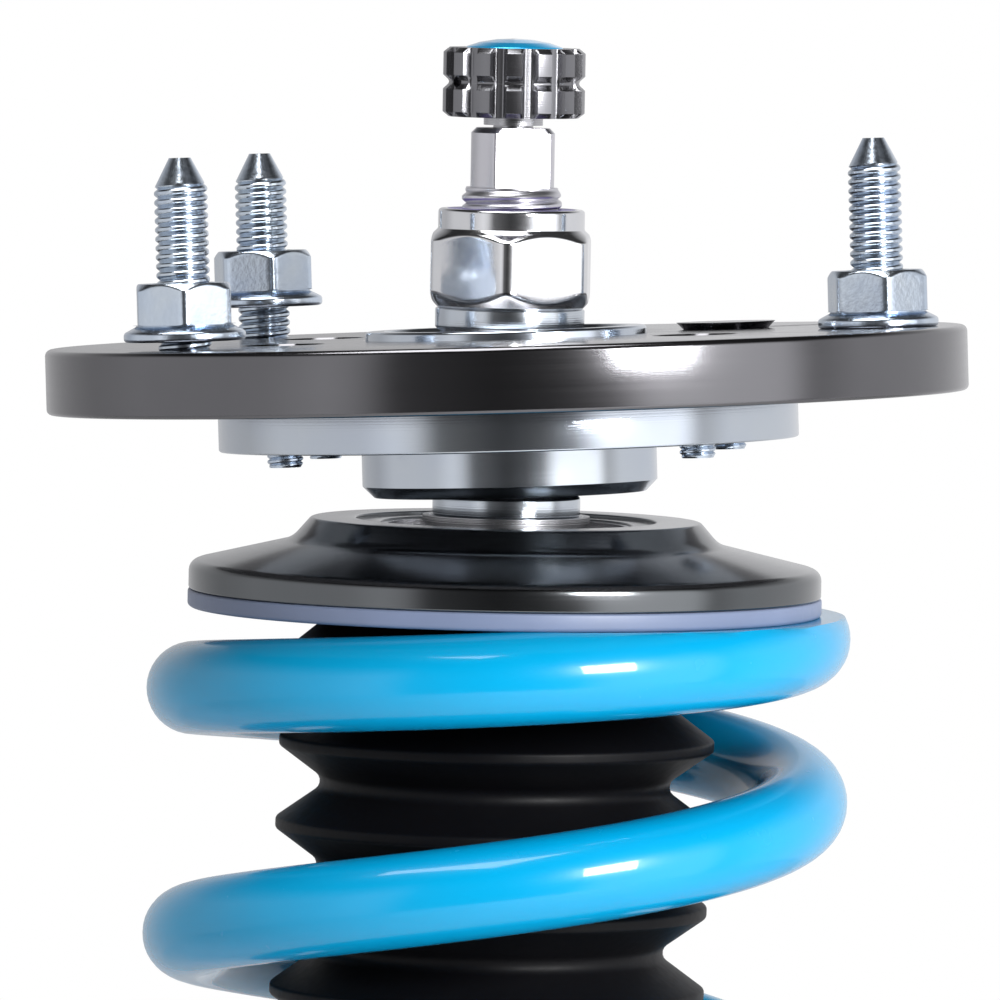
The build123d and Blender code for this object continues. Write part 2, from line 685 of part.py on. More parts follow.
bearing_inner_ring = grooved_ring(BEARING_INNER_D / 2, spigot_bore_r, ROD_SHOULDER, SPACER_BASE)
save(bearing_inner_ring, "bearing_inner_ring")
bearing_outer_ring = grooved_ring(BEARING_D / 2, BEARING_OUTER_BORE / 2, bearing_base, BEARING_TOP)
save(bearing_outer_ring, "bearing_outer_ring")

with BuildPart() as bearing_balls:
    with Locations(Location((0, 0, ball_height))):
        with PolarLocations(ball_circle_r, BALL_COUNT):
            Sphere(BEARING_BALL_D / 2)
save(bearing_balls, "bearing_balls")

seal_inner_r = BEARING_INNER_D / 2 + RUNNING_GAP
seal_outer_r = BEARING_OUTER_BORE / 2 - PRESS_GAP
with BuildPart() as bearing_seals:
    for seal_base in (BEARING_TOP - SEAL_SUNK - SEAL_THICK, bearing_base + SEAL_SUNK):
        with BuildSketch(Plane.XY.offset(seal_base)):
            Circle(seal_outer_r)
            Circle(seal_inner_r, mode=Mode.SUBTRACT)
        extrude(amount=SEAL_THICK)
save(bearing_seals, "bearing_seals")

# ---- isolator pad and spring ----
pad_base = SEAT_BASE - PAD_THICK
spring_pad = ring(Plane.XY, seat_r + PAD_OVERHANG, PAD_BORE / 2, pad_base, SEAT_BASE)
save(spring_pad, "upper_spring_pad")

spring_base = pad_base - SPRING_LENGTH
coil_r = (SPRING_OUTER_D - WIRE_D) / 2
coil_pitch = SPRING_LENGTH / SPRING_TURNS
coil_start = Plane(origin=(0, 0, spring_base), x_dir=(cos(radians(TIP_ANGLE)), sin(radians(TIP_ANGLE)), 0))
with BuildPart() as coil_spring:
    with BuildLine(coil_start):
        wire = Helix(pitch=coil_pitch, height=SPRING_LENGTH, radius=coil_r)
    with BuildSketch(Plane(origin=wire @ 0, z_dir=wire % 0)):
        Circle(WIRE_D / 2)
    sweep(path=wire, is_frenet=True)
    split(bisect_by=Plane.XY.offset(pad_base), keep=Keep.BOTTOM)
    split(bisect_by=Plane.XY.offset(spring_base), keep=Keep.TOP)
save(coil_spring, "coil_spring")

# ---- rubber boot: pleats between a cuff on the seat's hub and one on the gland ----
gland_top = TUBE_TOP + GLAND_HEIGHT
crest_r = BOOT_CREST_D / 2
valley_r = BOOT_VALLEY_D / 2
cuff_r = hub_r + PRESS_GAP
boot_top = SEAT_BASE - PRESS_GAP
first_crest = BOOT_FIRST_CREST
boot_outline = [(cuff_r + BOOT_WALL, boot_top), (cuff_r + BOOT_WALL, first_crest + BOOT_PITCH / 2)]
boot_inside = [(cuff_r, boot_top), (cuff_r, first_crest + BOOT_PITCH / 2)]
for crest in range(BOOT_CRESTS):
    height = first_crest - crest * BOOT_PITCH
    boot_outline += [(crest_r, height), (valley_r, height - BOOT_PITCH / 2)]
    boot_inside += [(crest_r - 2 * BOOT_WALL, height), (valley_r - BOOT_WALL, height - BOOT_PITCH / 2)]
boot_base = first_crest - (BOOT_CRESTS - 0.5) * BOOT_PITCH - BOOT_CUFF
boot_outline.append((valley_r, boot_base))
boot_inside.append((valley_r - BOOT_WALL, boot_base))
with BuildPart() as dust_boot:
    with BuildSketch(Plane.XZ):
        with BuildLine():
            Polyline(*boot_outline, *reversed(boot_inside), close=True)
        make_face()
    revolve(axis=Axis.Z)
save(dust_boot, "dust_boot")

# ---- bump stop and its washer, on the rod ----
washer_base = SEAT_HUB_BASE - FREE_GAP - BUMP_WASHER_THICK
bump_bore_r = ROD_D / 2 + PRESS_GAP
washer_top = washer_base + BUMP_WASHER_THICK
bump_washer = ring(Plane.XY, BUMP_D / 2 - BUMP_WAIST, bump_bore_r, washer_base, washer_top)
save(bump_washer, "bump_washer")

bump_r = BUMP_D / 2
bump_base = washer_base - BUMP_LENGTH
with BuildPart() as bump_stop:
    with BuildSketch(Plane.XZ):
        with BuildLine():
            Line((bump_bore_r, bump_base), (bump_bore_r, washer_base))
            Line((bump_bore_r, washer_base), (bump_r - BUMP_WAIST, washer_base))
            top = washer_base
            for bulge in BUMP_BULGES:
                drop = BUMP_LENGTH * bulge
                waist_r = bump_r - BUMP_WAIST
                ThreePointArc((waist_r, top), (bump_r, top - drop / 2), (waist_r, top - drop))
                top -= drop
            Line((waist_r, bump_base), (bump_bore_r, bump_base))
        make_face()
    revolve(axis=Axis.Z)
save(bump_stop, "bump_stop")

# ---- damper: pressure tube, guide, seal and gland at its mouth ----
tube_base = TUBE_TOP - TUBE_LENGTH
tube_bore_r = TUBE_BORE / 2
rod_running_r = ROD_D / 2 + RUNNING_GAP
pressure_tube = ring(Plane.XY, TUBE_D / 2, tube_bore_r, tube_base, TUBE_TOP)
save(pressure_tube, "pressure_tube")
base_cap = ring(Plane.XY, tube_bore_r - PRESS_GAP, VALVE_R, tube_base, tube_base + TUBE_FLOOR)
save(base_cap, "base_cap")
with BuildPart() as gas_valve:
    with BuildSketch(Plane.XY.offset(tube_base + VALVE_PROUD)):
        Circle(VALVE_R - PRESS_GAP)
    extrude(amount=TUBE_FLOOR)
save(gas_valve, "gas_valve")

with BuildPart() as gland_cap:
    with BuildSketch(Plane.XY.offset(TUBE_TOP + PRESS_GAP)):
        Circle(GLAND_D / 2)
        Circle(rod_running_r + WIPER_WALL, mode=Mode.SUBTRACT)
    extrude(amount=GLAND_HEIGHT)
    gland_rims = gland_cap.edges().filter_by(GeomType.CIRCLE).group_by(Axis.Z)[-1]
    chamfer(gland_rims.sort_by(SortBy.RADIUS)[-1], GLAND_CHAMFER)
save(gland_cap, "gland_cap")
wiper_r = rod_running_r + WIPER_WALL - PRESS_GAP
rod_wiper = ring(Plane.XY, wiper_r, rod_running_r, gland_top - WIPER_HEIGHT, gland_top)
save(rod_wiper, "rod_wiper")
with BuildPart() as rod_guide:
    with BuildSketch(Plane.XY.offset(TUBE_TOP - PRESS_GAP)):
        Circle(tube_bore_r - PRESS_GAP)
        Circle(rod_running_r, mode=Mode.SUBTRACT)
    extrude(amount=-GUIDE_LENGTH)
    with BuildSketch(Plane.XY.offset(TUBE_TOP)):
        Circle(rod_running_r + SEAL_WALL)
    extrude(amount=-SEAL_POCKET, mode=Mode.SUBTRACT)
save(rod_guide, "rod_guide")
seal_r = rod_running_r + SEAL_WALL - PRESS_GAP
rod_seal = ring(Plane.XY, seal_r, rod_running_r, TUBE_TOP - SEAL_POCKET + SEAL_ROOM, TUBE_TOP - SEAL_ROOM)
save(rod_seal, "rod_seal")

# ---- piston group on the rod's lower end ----
piston_base = piston_step - PISTON_LENGTH
piston_mid = piston_step - PISTON_LENGTH / 2
piston_r = tube_bore_r - PISTON_GAP
piston_bore_r = rod_tail_r + PRESS_GAP
band_base = piston_mid - BAND_HEIGHT / 2
with BuildPart() as piston:
    with BuildSketch(Plane.XY.offset(piston_base)):
        Circle(piston_r)
        Circle(piston_bore_r, mode=Mode.SUBTRACT)
        with PolarLocations(PORT_CIRCLE_R, PORT_COUNT):
            Circle(PORT_R, mode=Mode.SUBTRACT)
    extrude(amount=PISTON_LENGTH)
    with BuildSketch(Plane.XY.offset(band_base)):
        Circle(tube_bore_r)
        Circle(piston_r - BAND_WALL, mode=Mode.SUBTRACT)
    extrude(amount=BAND_HEIGHT, mode=Mode.SUBTRACT)
save(piston, "piston")
piston_band = ring(
    Plane.XY,
    tube_bore_r - RUNNING_GAP,
    piston_r - BAND_WALL + PRESS_GAP,
    band_base + PRESS_GAP,
    band_base + BAND_HEIGHT - PRESS_GAP,
)
save(piston_band, "piston_band")
with BuildPart() as shim_stack:
    for number, shim_r in enumerate(SHIM_RADII):
        with BuildSketch(Plane.XY.offset(piston_base - number * SHIM_THICK)):
            Circle(shim_r)
            Circle(piston_bore_r, mode=Mode.SUBTRACT)
        extrude(amount=-SHIM_THICK)
save(shim_stack, "shim_stack")
with BuildPart() as piston_nut:
    with BuildSketch(Plane.XY.offset(piston_base - shims_thick)):
        RegularPolygon(PISTON_NUT_AF / 2, 6, major_radius=False)
        Circle(piston_bore_r, mode=Mode.SUBTRACT)
    extrude(amount=-PISTON_NUT_HEIGHT)
save(piston_nut, "piston_nut")

# ---- floating piston that parts the oil from the gas ----
float_base = FLOAT_TOP - FLOAT_LENGTH
groove_foot = FLOAT_TOP - (FLOAT_LENGTH + FLOAT_GROOVE_HEIGHT) / 2
float_groove_r = tube_bore_r - FLOAT_GROOVE_DEPTH
with BuildPart() as floating_piston:
    with BuildSketch(Plane.XY.offset(float_base)):
        Circle(tube_bore_r - RUNNING_GAP)
    extrude(amount=FLOAT_LENGTH)
    with BuildSketch(Plane.XY.offset(float_base)):
        Circle(tube_bore_r - FLOAT_WALL)
    extrude(amount=FLOAT_LENGTH - FLOAT_WALL, mode=Mode.SUBTRACT)
    with BuildSketch(Plane.XY.offset(groove_foot)):
        Circle(tube_bore_r)
        Circle(float_groove_r, mode=Mode.SUBTRACT)
    extrude(amount=FLOAT_GROOVE_HEIGHT, mode=Mode.SUBTRACT)
save(floating_piston, "floating_piston")
float_seal = ring(
    Plane.XY,
    tube_bore_r - RUNNING_GAP,
    float_groove_r + PRESS_GAP,
    groove_foot + PRESS_GAP,
    groove_foot + FLOAT_GROOVE_HEIGHT - PRESS_GAP,
)
save(float_seal, "float_seal")

# ---- threaded sleeve, lower perch, pad and rings ----
sleeve_r = SLEEVE_D / 2
threaded_sleeve = ring(Plane.XY, sleeve_r, TUBE_D / 2 + PRESS_GAP, tube_base, SLEEVE_TOP)
save(threaded_sleeve, "threaded_sleeve")

ring_bore_r = sleeve_r + RUNNING_GAP
lower_pad_top = spring_base - PRESS_GAP
perch_top = lower_pad_top - PAD_THICK
hub_outer_r = PAD_BORE / 2 + PERCH_HUB_WALL
lower_pad = ring(Plane.XY, seat_r + PAD_OVERHANG, hub_outer_r + LOWER_PAD_ROOM, perch_top, lower_pad_top)
save(lower_pad, "lower_spring_pad")

perch_r = PERCH_D / 2
perch_base = perch_top - PERCH_THICK
rim_base = perch_top - PERCH_RIM
with BuildPart() as lower_perch:
    with BuildSketch(Plane.XZ):
        with BuildLine():
            Polyline(
                (ring_bore_r, perch_base),
                (RING_D / 2, perch_base),
                (perch_r, rim_base),
                (perch_r, perch_top),
                (hub_outer_r, perch_top),
                (hub_outer_r, perch_top + PERCH_HUB_HEIGHT),
                (ring_bore_r, perch_top + PERCH_HUB_HEIGHT),
                close=True,
            )
        make_face()
    revolve(axis=Axis.Z)
save(lower_perch, "lower_spring_perch")


def spanner_ring(top, height):
    """A threaded ring on the sleeve, slotted round its rim for a hook spanner."""
    with BuildPart() as slotted:
        with BuildSketch(Plane.XY.offset(top - height)):
            Circle(RING_D / 2)
            Circle(ring_bore_r, mode=Mode.SUBTRACT)
            with PolarLocations(RING_D / 2, SPANNER_SLOTS):
                Rectangle(2 * SLOT_DEPTH, SLOT_WIDTH, mode=Mode.SUBTRACT)
        extrude(amount=height)
    return slotted


adjuster_top = perch_base - PRESS_GAP
lock_top = adjuster_top - ADJUSTER_HEIGHT - PRESS_GAP
adjuster_ring = spanner_ring(adjuster_top, ADJUSTER_HEIGHT)
save(adjuster_ring, "adjuster_ring")
lock_ring = spanner_ring(lock_top, LOCK_RING_HEIGHT)
save(lock_ring, "perch_lock_ring")
bracket_lock_ring = spanner_ring(BRACKET_TOP + PRESS_GAP + LOCK_RING_HEIGHT, LOCK_RING_HEIGHT)
save(bracket_lock_ring, "bracket_lock_ring")

# ---- knuckle bracket: sleeve screwed on the body, two bolted ears, anti-roll bar tab ----
bracket_base = BRACKET_TOP - BRACKET_LENGTH
bracket_r = BRACKET_SLEEVE_D / 2
ear_mid = (BRACKET_TOP + bracket_base) / 2
bolt_points = [(EAR_REACH - BOLT_EDGE, ear_mid + side * BOLT_SPACING / 2) for side in (-1, 1)]
with BuildPart() as knuckle_bracket:
    with BuildSketch(Plane.XY.offset(bracket_base)):
        Circle(bracket_r)
    extrude(amount=BRACKET_LENGTH)
    with BuildSketch(Plane.XZ.offset(-EAR_GAP / 2 - EAR_THICK)):
        with Locations((EAR_REACH / 2, ear_mid)):
            RectangleRounded(EAR_REACH, BRACKET_LENGTH, EAR_CORNER_R)
    extrude(amount=EAR_GAP + 2 * EAR_THICK)
    with BuildSketch(Plane.XY.offset(bracket_base)):
        with Locations((bracket_r + EAR_REACH / 2, 0)):
            Rectangle(EAR_REACH, EAR_GAP)
    extrude(amount=BRACKET_LENGTH, mode=Mode.SUBTRACT)
    with BuildSketch(Plane.XZ.offset(-EAR_GAP)):
        with Locations(*bolt_points):
            Circle(BOLT_D / 2)
    extrude(amount=2 * EAR_GAP, mode=Mode.SUBTRACT)
    with BuildSketch(Plane.XZ.offset(-EAR_THICK / 2)):
        with Locations((-bracket_r - TAB_MID, BRACKET_TOP - TAB_DROP)):
            SlotOverall(TAB_LENGTH, TAB_WIDTH)
        with Locations((-bracket_r - TAB_HOLE_OUT, BRACKET_TOP - TAB_DROP)):
            Circle(TAB_HOLE_D / 2, mode=Mode.SUBTRACT)
    extrude(amount=EAR_THICK)
    with BuildSketch(Plane.XY.offset(bracket_base)):
        Circle(ring_bore_r)
    extrude(amount=BRACKET_LENGTH, mode=Mode.SUBTRACT)
save(knuckle_bracket, "knuckle_bracket")
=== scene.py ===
# %% [markdown]
# # A coilover strut, piece by piece
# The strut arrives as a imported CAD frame: every node is already in its place, in metres, and it moves on its
# body. Here each piece that the eye reaches gets its real surface: turned faces, rolled threads, a wound
# spring, rubber pleats and the finishes of the shop floor. Nothing is moved or resized, so every size below
# is read from the frame.

# %% Load the frame
import json
from math import ceil, cos, degrees, hypot, pi, radians, sin, sqrt, tan, tau

import bmesh
import bpy
from mathutils import Matrix, Vector


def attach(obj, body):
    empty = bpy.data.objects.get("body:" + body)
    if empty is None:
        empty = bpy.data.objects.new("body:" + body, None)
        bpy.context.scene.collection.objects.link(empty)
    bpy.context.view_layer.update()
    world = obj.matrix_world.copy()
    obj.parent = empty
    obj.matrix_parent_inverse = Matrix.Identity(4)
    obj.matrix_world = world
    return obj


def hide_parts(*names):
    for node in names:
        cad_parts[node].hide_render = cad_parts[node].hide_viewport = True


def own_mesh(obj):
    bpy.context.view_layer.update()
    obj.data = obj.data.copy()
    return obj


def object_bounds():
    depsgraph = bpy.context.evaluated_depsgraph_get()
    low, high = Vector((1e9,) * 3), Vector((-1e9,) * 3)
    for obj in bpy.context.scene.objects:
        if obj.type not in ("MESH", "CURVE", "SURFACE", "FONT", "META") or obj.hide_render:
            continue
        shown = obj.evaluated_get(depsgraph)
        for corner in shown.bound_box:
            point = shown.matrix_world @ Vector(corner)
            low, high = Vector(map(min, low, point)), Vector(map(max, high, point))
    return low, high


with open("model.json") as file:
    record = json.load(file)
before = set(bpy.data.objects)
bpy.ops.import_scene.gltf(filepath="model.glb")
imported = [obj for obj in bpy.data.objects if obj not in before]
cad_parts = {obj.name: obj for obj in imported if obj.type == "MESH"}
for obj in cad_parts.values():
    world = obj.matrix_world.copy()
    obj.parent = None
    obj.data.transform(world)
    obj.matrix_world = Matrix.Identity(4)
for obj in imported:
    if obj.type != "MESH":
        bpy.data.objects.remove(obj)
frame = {"nodes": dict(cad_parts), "record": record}
cad_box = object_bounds()
nodes = frame["nodes"]
MM = 0.001
GAP = 0.05      # room between two skins that would otherwise lie in one face, in millimetres

# %% [markdown]
# The plate, its studs and the bearing housing lean a little about the ball, so those pieces are turned about
# their own axis. The record states that axis at the tower face, and the right-hand stud fixes the direction
# of its X.

# %% Two sets of axes: the upright rod and the leaning mount
mounts = {entry["name"]: entry for entry in frame["record"]["mounts"]}
lean_z = Vector(mounts["tower_face"]["axis"]).normalized()
stud_place = Vector(mounts["stud_right"]["pos_m"])
lean_x = (stud_place - stud_place.dot(lean_z) * lean_z).normalized()
lean_y = lean_z.cross(lean_x)
UPRIGHT = Matrix.Identity(4)
LEANING = Matrix((lean_x, lean_y, lean_z)).transposed().to_4x4()


def reach(node, place=UPRIGHT):
    """How far a CAD node reaches about an axis, in millimetres: (largest radius, lowest, highest)."""
    turn = place.inverted()
    points = [turn @ vertex.co / MM for vertex in nodes[node].data.vertices]
    radius = max(hypot(point.x, point.y) for point in points)
    heights = [point.z for point in points]
    return radius, min(heights), max(heights)


print("mount leans by", round(degrees(lean_z.angle(Vector((0, 0, 1)))), 2), "degrees")

# %% [markdown]
# ## Turned pieces
# Most of a strut comes off a lathe. A turned piece is an outline of radius and height swept round an axis.
# Each corner of the outline carries a small radius of its own, because a real edge is broken and that is what
# catches the light. A second function may pull the radius in by angle, which gives hexagons, flats, flutes
# and spanner slots from the same mesh. This keeps every piece one clean closed skin, with no boolean seams.

# %% Outline with broken corners
ARC_STEPS = 5


def rounded(outline):
    """Puts an arc at each corner that has a third number, its corner radius, after radius and height."""
    count = len(outline)
    points = []
    for index, corner in enumerate(outline):
        here = Vector(corner[:2])
        size = corner[2] if len(corner) > 2 else 0.0
        before = Vector(outline[index - 1][:2]) - here
        after = Vector(outline[(index + 1) % count][:2]) - here
        if size <= 0 or before.length < 1e-6 or after.length < 1e-6:
            points.append((here.x, here.y))
            continue
        half = before.angle(after) / 2
        if half > radians(88):
            points.append((here.x, here.y))
            continue
        run = min(size / tan(half), 0.45 * before.length, 0.45 * after.length)
        size = run * tan(half)
        first = here + before.normalized() * run
        last = here + after.normalized() * run
        centre = here + (before.normalized() + after.normalized()).normalized() * (size / sin(half))
        start = first - centre
        sweep = start.angle_signed(last - centre)
        for step in range(ARC_STEPS + 1):
            turned_by = -sweep * step / ARC_STEPS
            points.append((
                centre.x + start.x * cos(turned_by) - start.y * sin(turned_by),
                centre.y + start.x * sin(turned_by) + start.y * cos(turned_by),
            ))
    return points


# %% From an outline to a mesh
SHARP_EDGE = radians(32)


def as_object(name, mesh, place=UPRIGHT):
    """A finished mesh in millimetres becomes an object at the frame's origin, in metres."""
    mesh.transform(place @ Matrix.Scale(MM, 4))
    mesh.shade_smooth()
    mesh.set_sharp_from_angle(angle=SHARP_EDGE)
    piece = bpy.data.objects.new(name, mesh)
    bpy.context.scene.collection.objects.link(piece)
    return piece


def closed_mesh(name, build):
    """A bmesh with doubled points merged, thin faces dissolved and every face turned outward."""
    bmesh.ops.remove_doubles(build, verts=build.verts, dist=1e-4)
    bmesh.ops.dissolve_degenerate(build, edges=build.edges, dist=1e-5)
    bmesh.ops.recalc_face_normals(build, faces=build.faces)
    mesh = bpy.data.meshes.new(name)
    build.to_mesh(mesh)
    build.free()
    return mesh


def divided(section, longest):
    """The same closed outline with its sides cut into lengths no longer than this."""
    points = []
    for index, (radius, height) in enumerate(section):
        next_radius, next_height = section[(index + 1) % len(section)]
        parts = max(1, ceil(hypot(next_radius - radius, next_height - height) / longest))
        for part in range(parts):
            share = part / parts
            points.append((radius + (next_radius - radius) * share, height + (next_height - height) * share))
    return points


def turned(name, outline, place=UPRIGHT, shape=None, around=160, angles=None, row_step=None):
    """Sweeps a closed outline round the axis. shape(radius, height, angle) may change the radius.

    row_step puts extra rows along the outline, so that a shaped face has enough of them.
    """
    section = rounded(outline)
    if row_step:
        section = divided(section, row_step)
    stations = angles or [tau * step / around for step in range(around)]
    build = bmesh.new()
    rows = []
    for angle in stations:
        row = []
        for radius, height in section:
            wide = shape(radius, height, angle) if shape else radius
            row.append(build.verts.new((wide * cos(angle), wide * sin(angle), height)))
        rows.append(row)
    for index, row in enumerate(rows):
        following = rows[(index + 1) % len(rows)]
        for step in range(len(row)):
            ahead = (step + 1) % len(row)
            build.faces.new((row[step], following[step], following[ahead], row[ahead]))
    return as_object(name, closed_mesh(name, build), place)


def dress(piece, body, material, *replaced):
    """Gives a piece its finish and its body, and hides the CAD nodes it stands for."""
    piece.data.materials.clear()
    piece.data.materials.append(material)
    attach(piece, body)
    if replaced:
        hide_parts(*replaced)
    return piece


slot_of = {entry["node"]: entry["material_slot"] for entry in frame["record"]["subparts"]}

# %% [markdown]
# ## Finishes
# A finish is more than one colour. Turned metal keeps the fine rings of the tool, plating varies a little in
# tint and gloss, paint has a faint orange peel, and rubber is dusty and even. One builder makes the node tree
# and each finish sets its own numbers: a slow noise shifts the colour, and a finer one shifts the roughness
# and also gives the bump.

# %% A node builder for all finishes


def finish(name, colour, metal=0.0, rough=0.4, tint=None, tint_scale=60.0, rough_swing=0.06, grain=900.0,
           bump=0.02, rings=0.0, ring_axis=None, coat=0.0, coat_rough=0.05, sheen=0.0, specular=0.5):
    """A procedural material. rings > 0 adds tool marks that run round ring_axis, that many per metre."""
    material = bpy.data.materials.new(name)
    material.use_nodes = True
    tree = material.node_tree
    link = tree.links.new
    shader = tree.nodes["Principled BSDF"]
    shader.inputs["Metallic"].default_value = metal
    shader.inputs["Specular IOR Level"].default_value = specular
    shader.inputs["Coat Weight"].default_value = coat
    shader.inputs["Coat Roughness"].default_value = coat_rough
    shader.inputs["Sheen Weight"].default_value = sheen
    place = tree.nodes.new("ShaderNodeTexCoord")

    slow = tree.nodes.new("ShaderNodeTexNoise")
    slow.inputs["Scale"].default_value = tint_scale
    slow.inputs["Detail"].default_value = 3.0
    link(place.outputs["Object"], slow.inputs["Vector"])
    ramp = tree.nodes.new("ShaderNodeValToRGB")
    ramp.color_ramp.elements[0].position = 0.3
    ramp.color_ramp.elements[1].position = 0.7
    ramp.color_ramp.elements[0].color = (*colour, 1)
    ramp.color_ramp.elements[1].color = (*(tint or [part * 0.86 for part in colour]), 1)
    link(slow.outputs["Fac"], ramp.inputs["Fac"])
    link(ramp.outputs["Color"], shader.inputs["Base Color"])

    fine = tree.nodes.new("ShaderNodeTexNoise")
    fine.inputs["Scale"].default_value = grain
    fine.inputs["Detail"].default_value = 2.0
    vector = place.outputs["Object"]
    if rings:
        vector = ring_vector(tree, vector, ring_axis or Vector((0, 0, 1)), rings)
        fine.inputs["Scale"].default_value = 1.0
    link(vector, fine.inputs["Vector"])
    spread = tree.nodes.new("ShaderNodeMapRange")
    spread.inputs["To Min"].default_value = max(rough - rough_swing, 0.02)
    spread.inputs["To Max"].default_value = rough + rough_swing
    link(fine.outputs["Fac"], spread.inputs["Value"])
    link(spread.outputs["Result"], shader.inputs["Roughness"])

    relief = tree.nodes.new("ShaderNodeBump")
    relief.inputs["Strength"].default_value = bump
    relief.inputs["Distance"].default_value = 0.0004
    link(fine.outputs["Fac"], relief.inputs["Height"])
    link(relief.outputs["Normal"], shader.inputs["Normal"])
    return material


def ring_vector(tree, vector, axis, per_metre):
    """Turns a place into (distance from the axis, height along it), so that noise becomes rings."""
    link = tree.links.new
    along = tree.nodes.new("ShaderNodeVectorMath")
    along.operation = "DOT_PRODUCT"
    along.inputs[1].default_value = axis
    link(vector, along.inputs[0])
    across = tree.nodes.new("ShaderNodeVectorMath")
    across.operation = "CROSS_PRODUCT"
    across.inputs[1].default_value = axis
    link(vector, across.inputs[0])
    far = tree.nodes.new("ShaderNodeVectorMath")
    far.operation = "LENGTH"
    link(across.outputs["Vector"], far.inputs[0])
    pair = tree.nodes.new("ShaderNodeCombineXYZ")
    link(far.outputs["Value"], pair.inputs["X"])
    link(along.outputs["Value"], pair.inputs["Y"])
    larger = tree.nodes.new("ShaderNodeVectorMath")
    larger.operation = "SCALE"
    larger.inputs["Scale"].default_value = per_metre
    link(pair.outputs["Vector"], larger.inputs[0])
    return larger.outputs["Vector"]


# %% The finishes of this strut
ANODISED = finish("black_anodising", (0.008, 0.009, 0.009), metal=0.0, rough=0.22, rings=9000, bump=0.05,
                  rough_swing=0.05, coat=0.15, coat_rough=0.12, specular=0.6)
ANODISED_LEAN = finish("black_anodising_plate", (0.168, 0.166, 0.175), metal=1.0, rough=0.17, rings=9000,
                       tint=(0.155, 0.153, 0.162), ring_axis=lean_z, bump=0.02, rough_swing=0.04)
ANODISED_SEAT = finish("black_anodising_seat", (0.15, 0.156, 0.164), metal=1.0, rough=0.16, rings=9000,
                       tint=(0.135, 0.145, 0.152), bump=0.02, rough_swing=0.04)
GUNMETAL = finish("knob_anodising", (0.235, 0.235, 0.25), metal=1.0, rough=0.25, tint=(0.2, 0.2, 0.212),
                  tint_scale=90, rings=6000, bump=0.04)
MILLED = finish("milled_rod_end", (0.66, 0.65, 0.69), metal=1.0, rough=0.3, tint=(0.6, 0.6, 0.64),
                tint_scale=80, rings=5000, bump=0.05)
ZINC = finish("bright_zinc", (0.58, 0.62, 0.66), metal=1.0, rough=0.16, tint=(0.53, 0.58, 0.65),
              tint_scale=90, rings=5000, bump=0.04, rough_swing=0.05)
ZINC_LEAN = finish("bright_zinc_housing", (0.58, 0.62, 0.66), metal=1.0, rough=0.16, tint=(0.52, 0.57, 0.65),
                   tint_scale=60, rings=5000, ring_axis=lean_z, bump=0.04, rough_swing=0.05)
ZINC_FASTENER = finish("zinc_fastener", (0.62, 0.68, 0.74), metal=1.0, rough=0.2, tint=(0.54, 0.62, 0.74),
                       tint_scale=160, grain=1500, bump=0.06, rough_swing=0.08)
NICKEL = finish("nut_nickel", (0.74, 0.74, 0.75), metal=1.0, rough=0.12, tint=(0.68, 0.69, 0.72),
                tint_scale=120, grain=1200, bump=0.01)
CHROME = finish("hard_chrome", (0.76, 0.76, 0.78), metal=1.0, rough=0.06, rings=9000, bump=0.01,
                rough_swing=0.02)
STEEL = finish("ground_steel", (0.5, 0.5, 0.52), metal=1.0, rough=0.26, rings=7000, bump=0.05)
SPRING_BLUE = finish("spring_powder_coat", (0.0, 0.32, 0.6), rough=0.26, tint=(0.0, 0.335, 0.625),
                     tint_scale=40, grain=260, bump=0.03, rough_swing=0.03, coat=0.6,
                     coat_rough=0.04, specular=0.25)
PAD_BLUE = finish("isolator_plastic", (0.19, 0.235, 0.36), rough=0.42, grain=900, bump=0.03)
RUBBER = finish("boot_rubber", (0.002, 0.002, 0.003), rough=0.5, tint=(0.003, 0.003, 0.004),
                grain=700, bump=0.06, specular=0.15)
NYLON = finish("nut_nylon", (0.16, 0.12, 0.42), rough=0.35, grain=900, bump=0.02)
CAP_BLUE = finish("cap_anodising", (0.0, 0.36, 0.72), metal=0.5, rough=0.18, tint=(0.0, 0.42, 0.8),
                  rings=6000, bump=0.02, coat=1.0, coat_rough=0.03)
FOAM = finish("bump_foam", (0.62, 0.52, 0.32), rough=0.8, grain=1400, bump=0.2)
ALLOY = finish("machined_alloy", (0.62, 0.63, 0.65), metal=1.0, rough=0.28, rings=6000, bump=0.05)
SEAL = finish("nitrile_seal", (0.02, 0.02, 0.02), rough=0.5, grain=800, bump=0.05)
BAND = finish("piston_band_polymer", (0.09, 0.075, 0.06), rough=0.45, grain=900, bump=0.04)
POWDER = finish("bracket_powder_coat", (0.02, 0.02, 0.022), rough=0.38, grain=420, bump=0.12,
                rough_swing=0.06, coat=0.2, coat_rough=0.2)
print("finishes:", len(bpy.data.materials))

# %% Every CAD node starts with the finish of its slot
SLOT_FINISH = {
    "black_anodised": ANODISED, "zinc_plate": ZINC, "machined_steel": STEEL, "hard_chrome": CHROME,
    "bearing_steel": STEEL, "spring_paint": SPRING_BLUE, "isolator": PAD_BLUE, "boot_rubber": RUBBER,
    "bump_foam": FOAM, "nylon": NYLON, "cap_blue": CAP_BLUE, "seal_rubber": SEAL, "band_polymer": BAND,
    "alloy": ALLOY, "bracket_paint": POWDER,
}
for name, node in nodes.items():
    node.data.materials.clear()
    node.data.materials.append(SLOT_FINISH[slot_of[name]])

# %% [markdown]
# ## Top plate
# A thick disc of black anodised aluminium with a broken edge, bored for the bearing housing and countersunk
# for four screws. The disc is turned with generous edge radii, and the screw seats are cut from it
# afterwards, because they stand off the axis.

# %% Plate
plate_r, plate_base, plate_top = reach("top_plate", LEANING)
boss_r = 19.72
plate = turned("top_plate_disc", [
    (boss_r, plate_base, 0.3), (plate_r, plate_base, 0.7),
    (plate_r, plate_top, 0.9), (boss_r, plate_top, 0.3),
], LEANING, around=256)

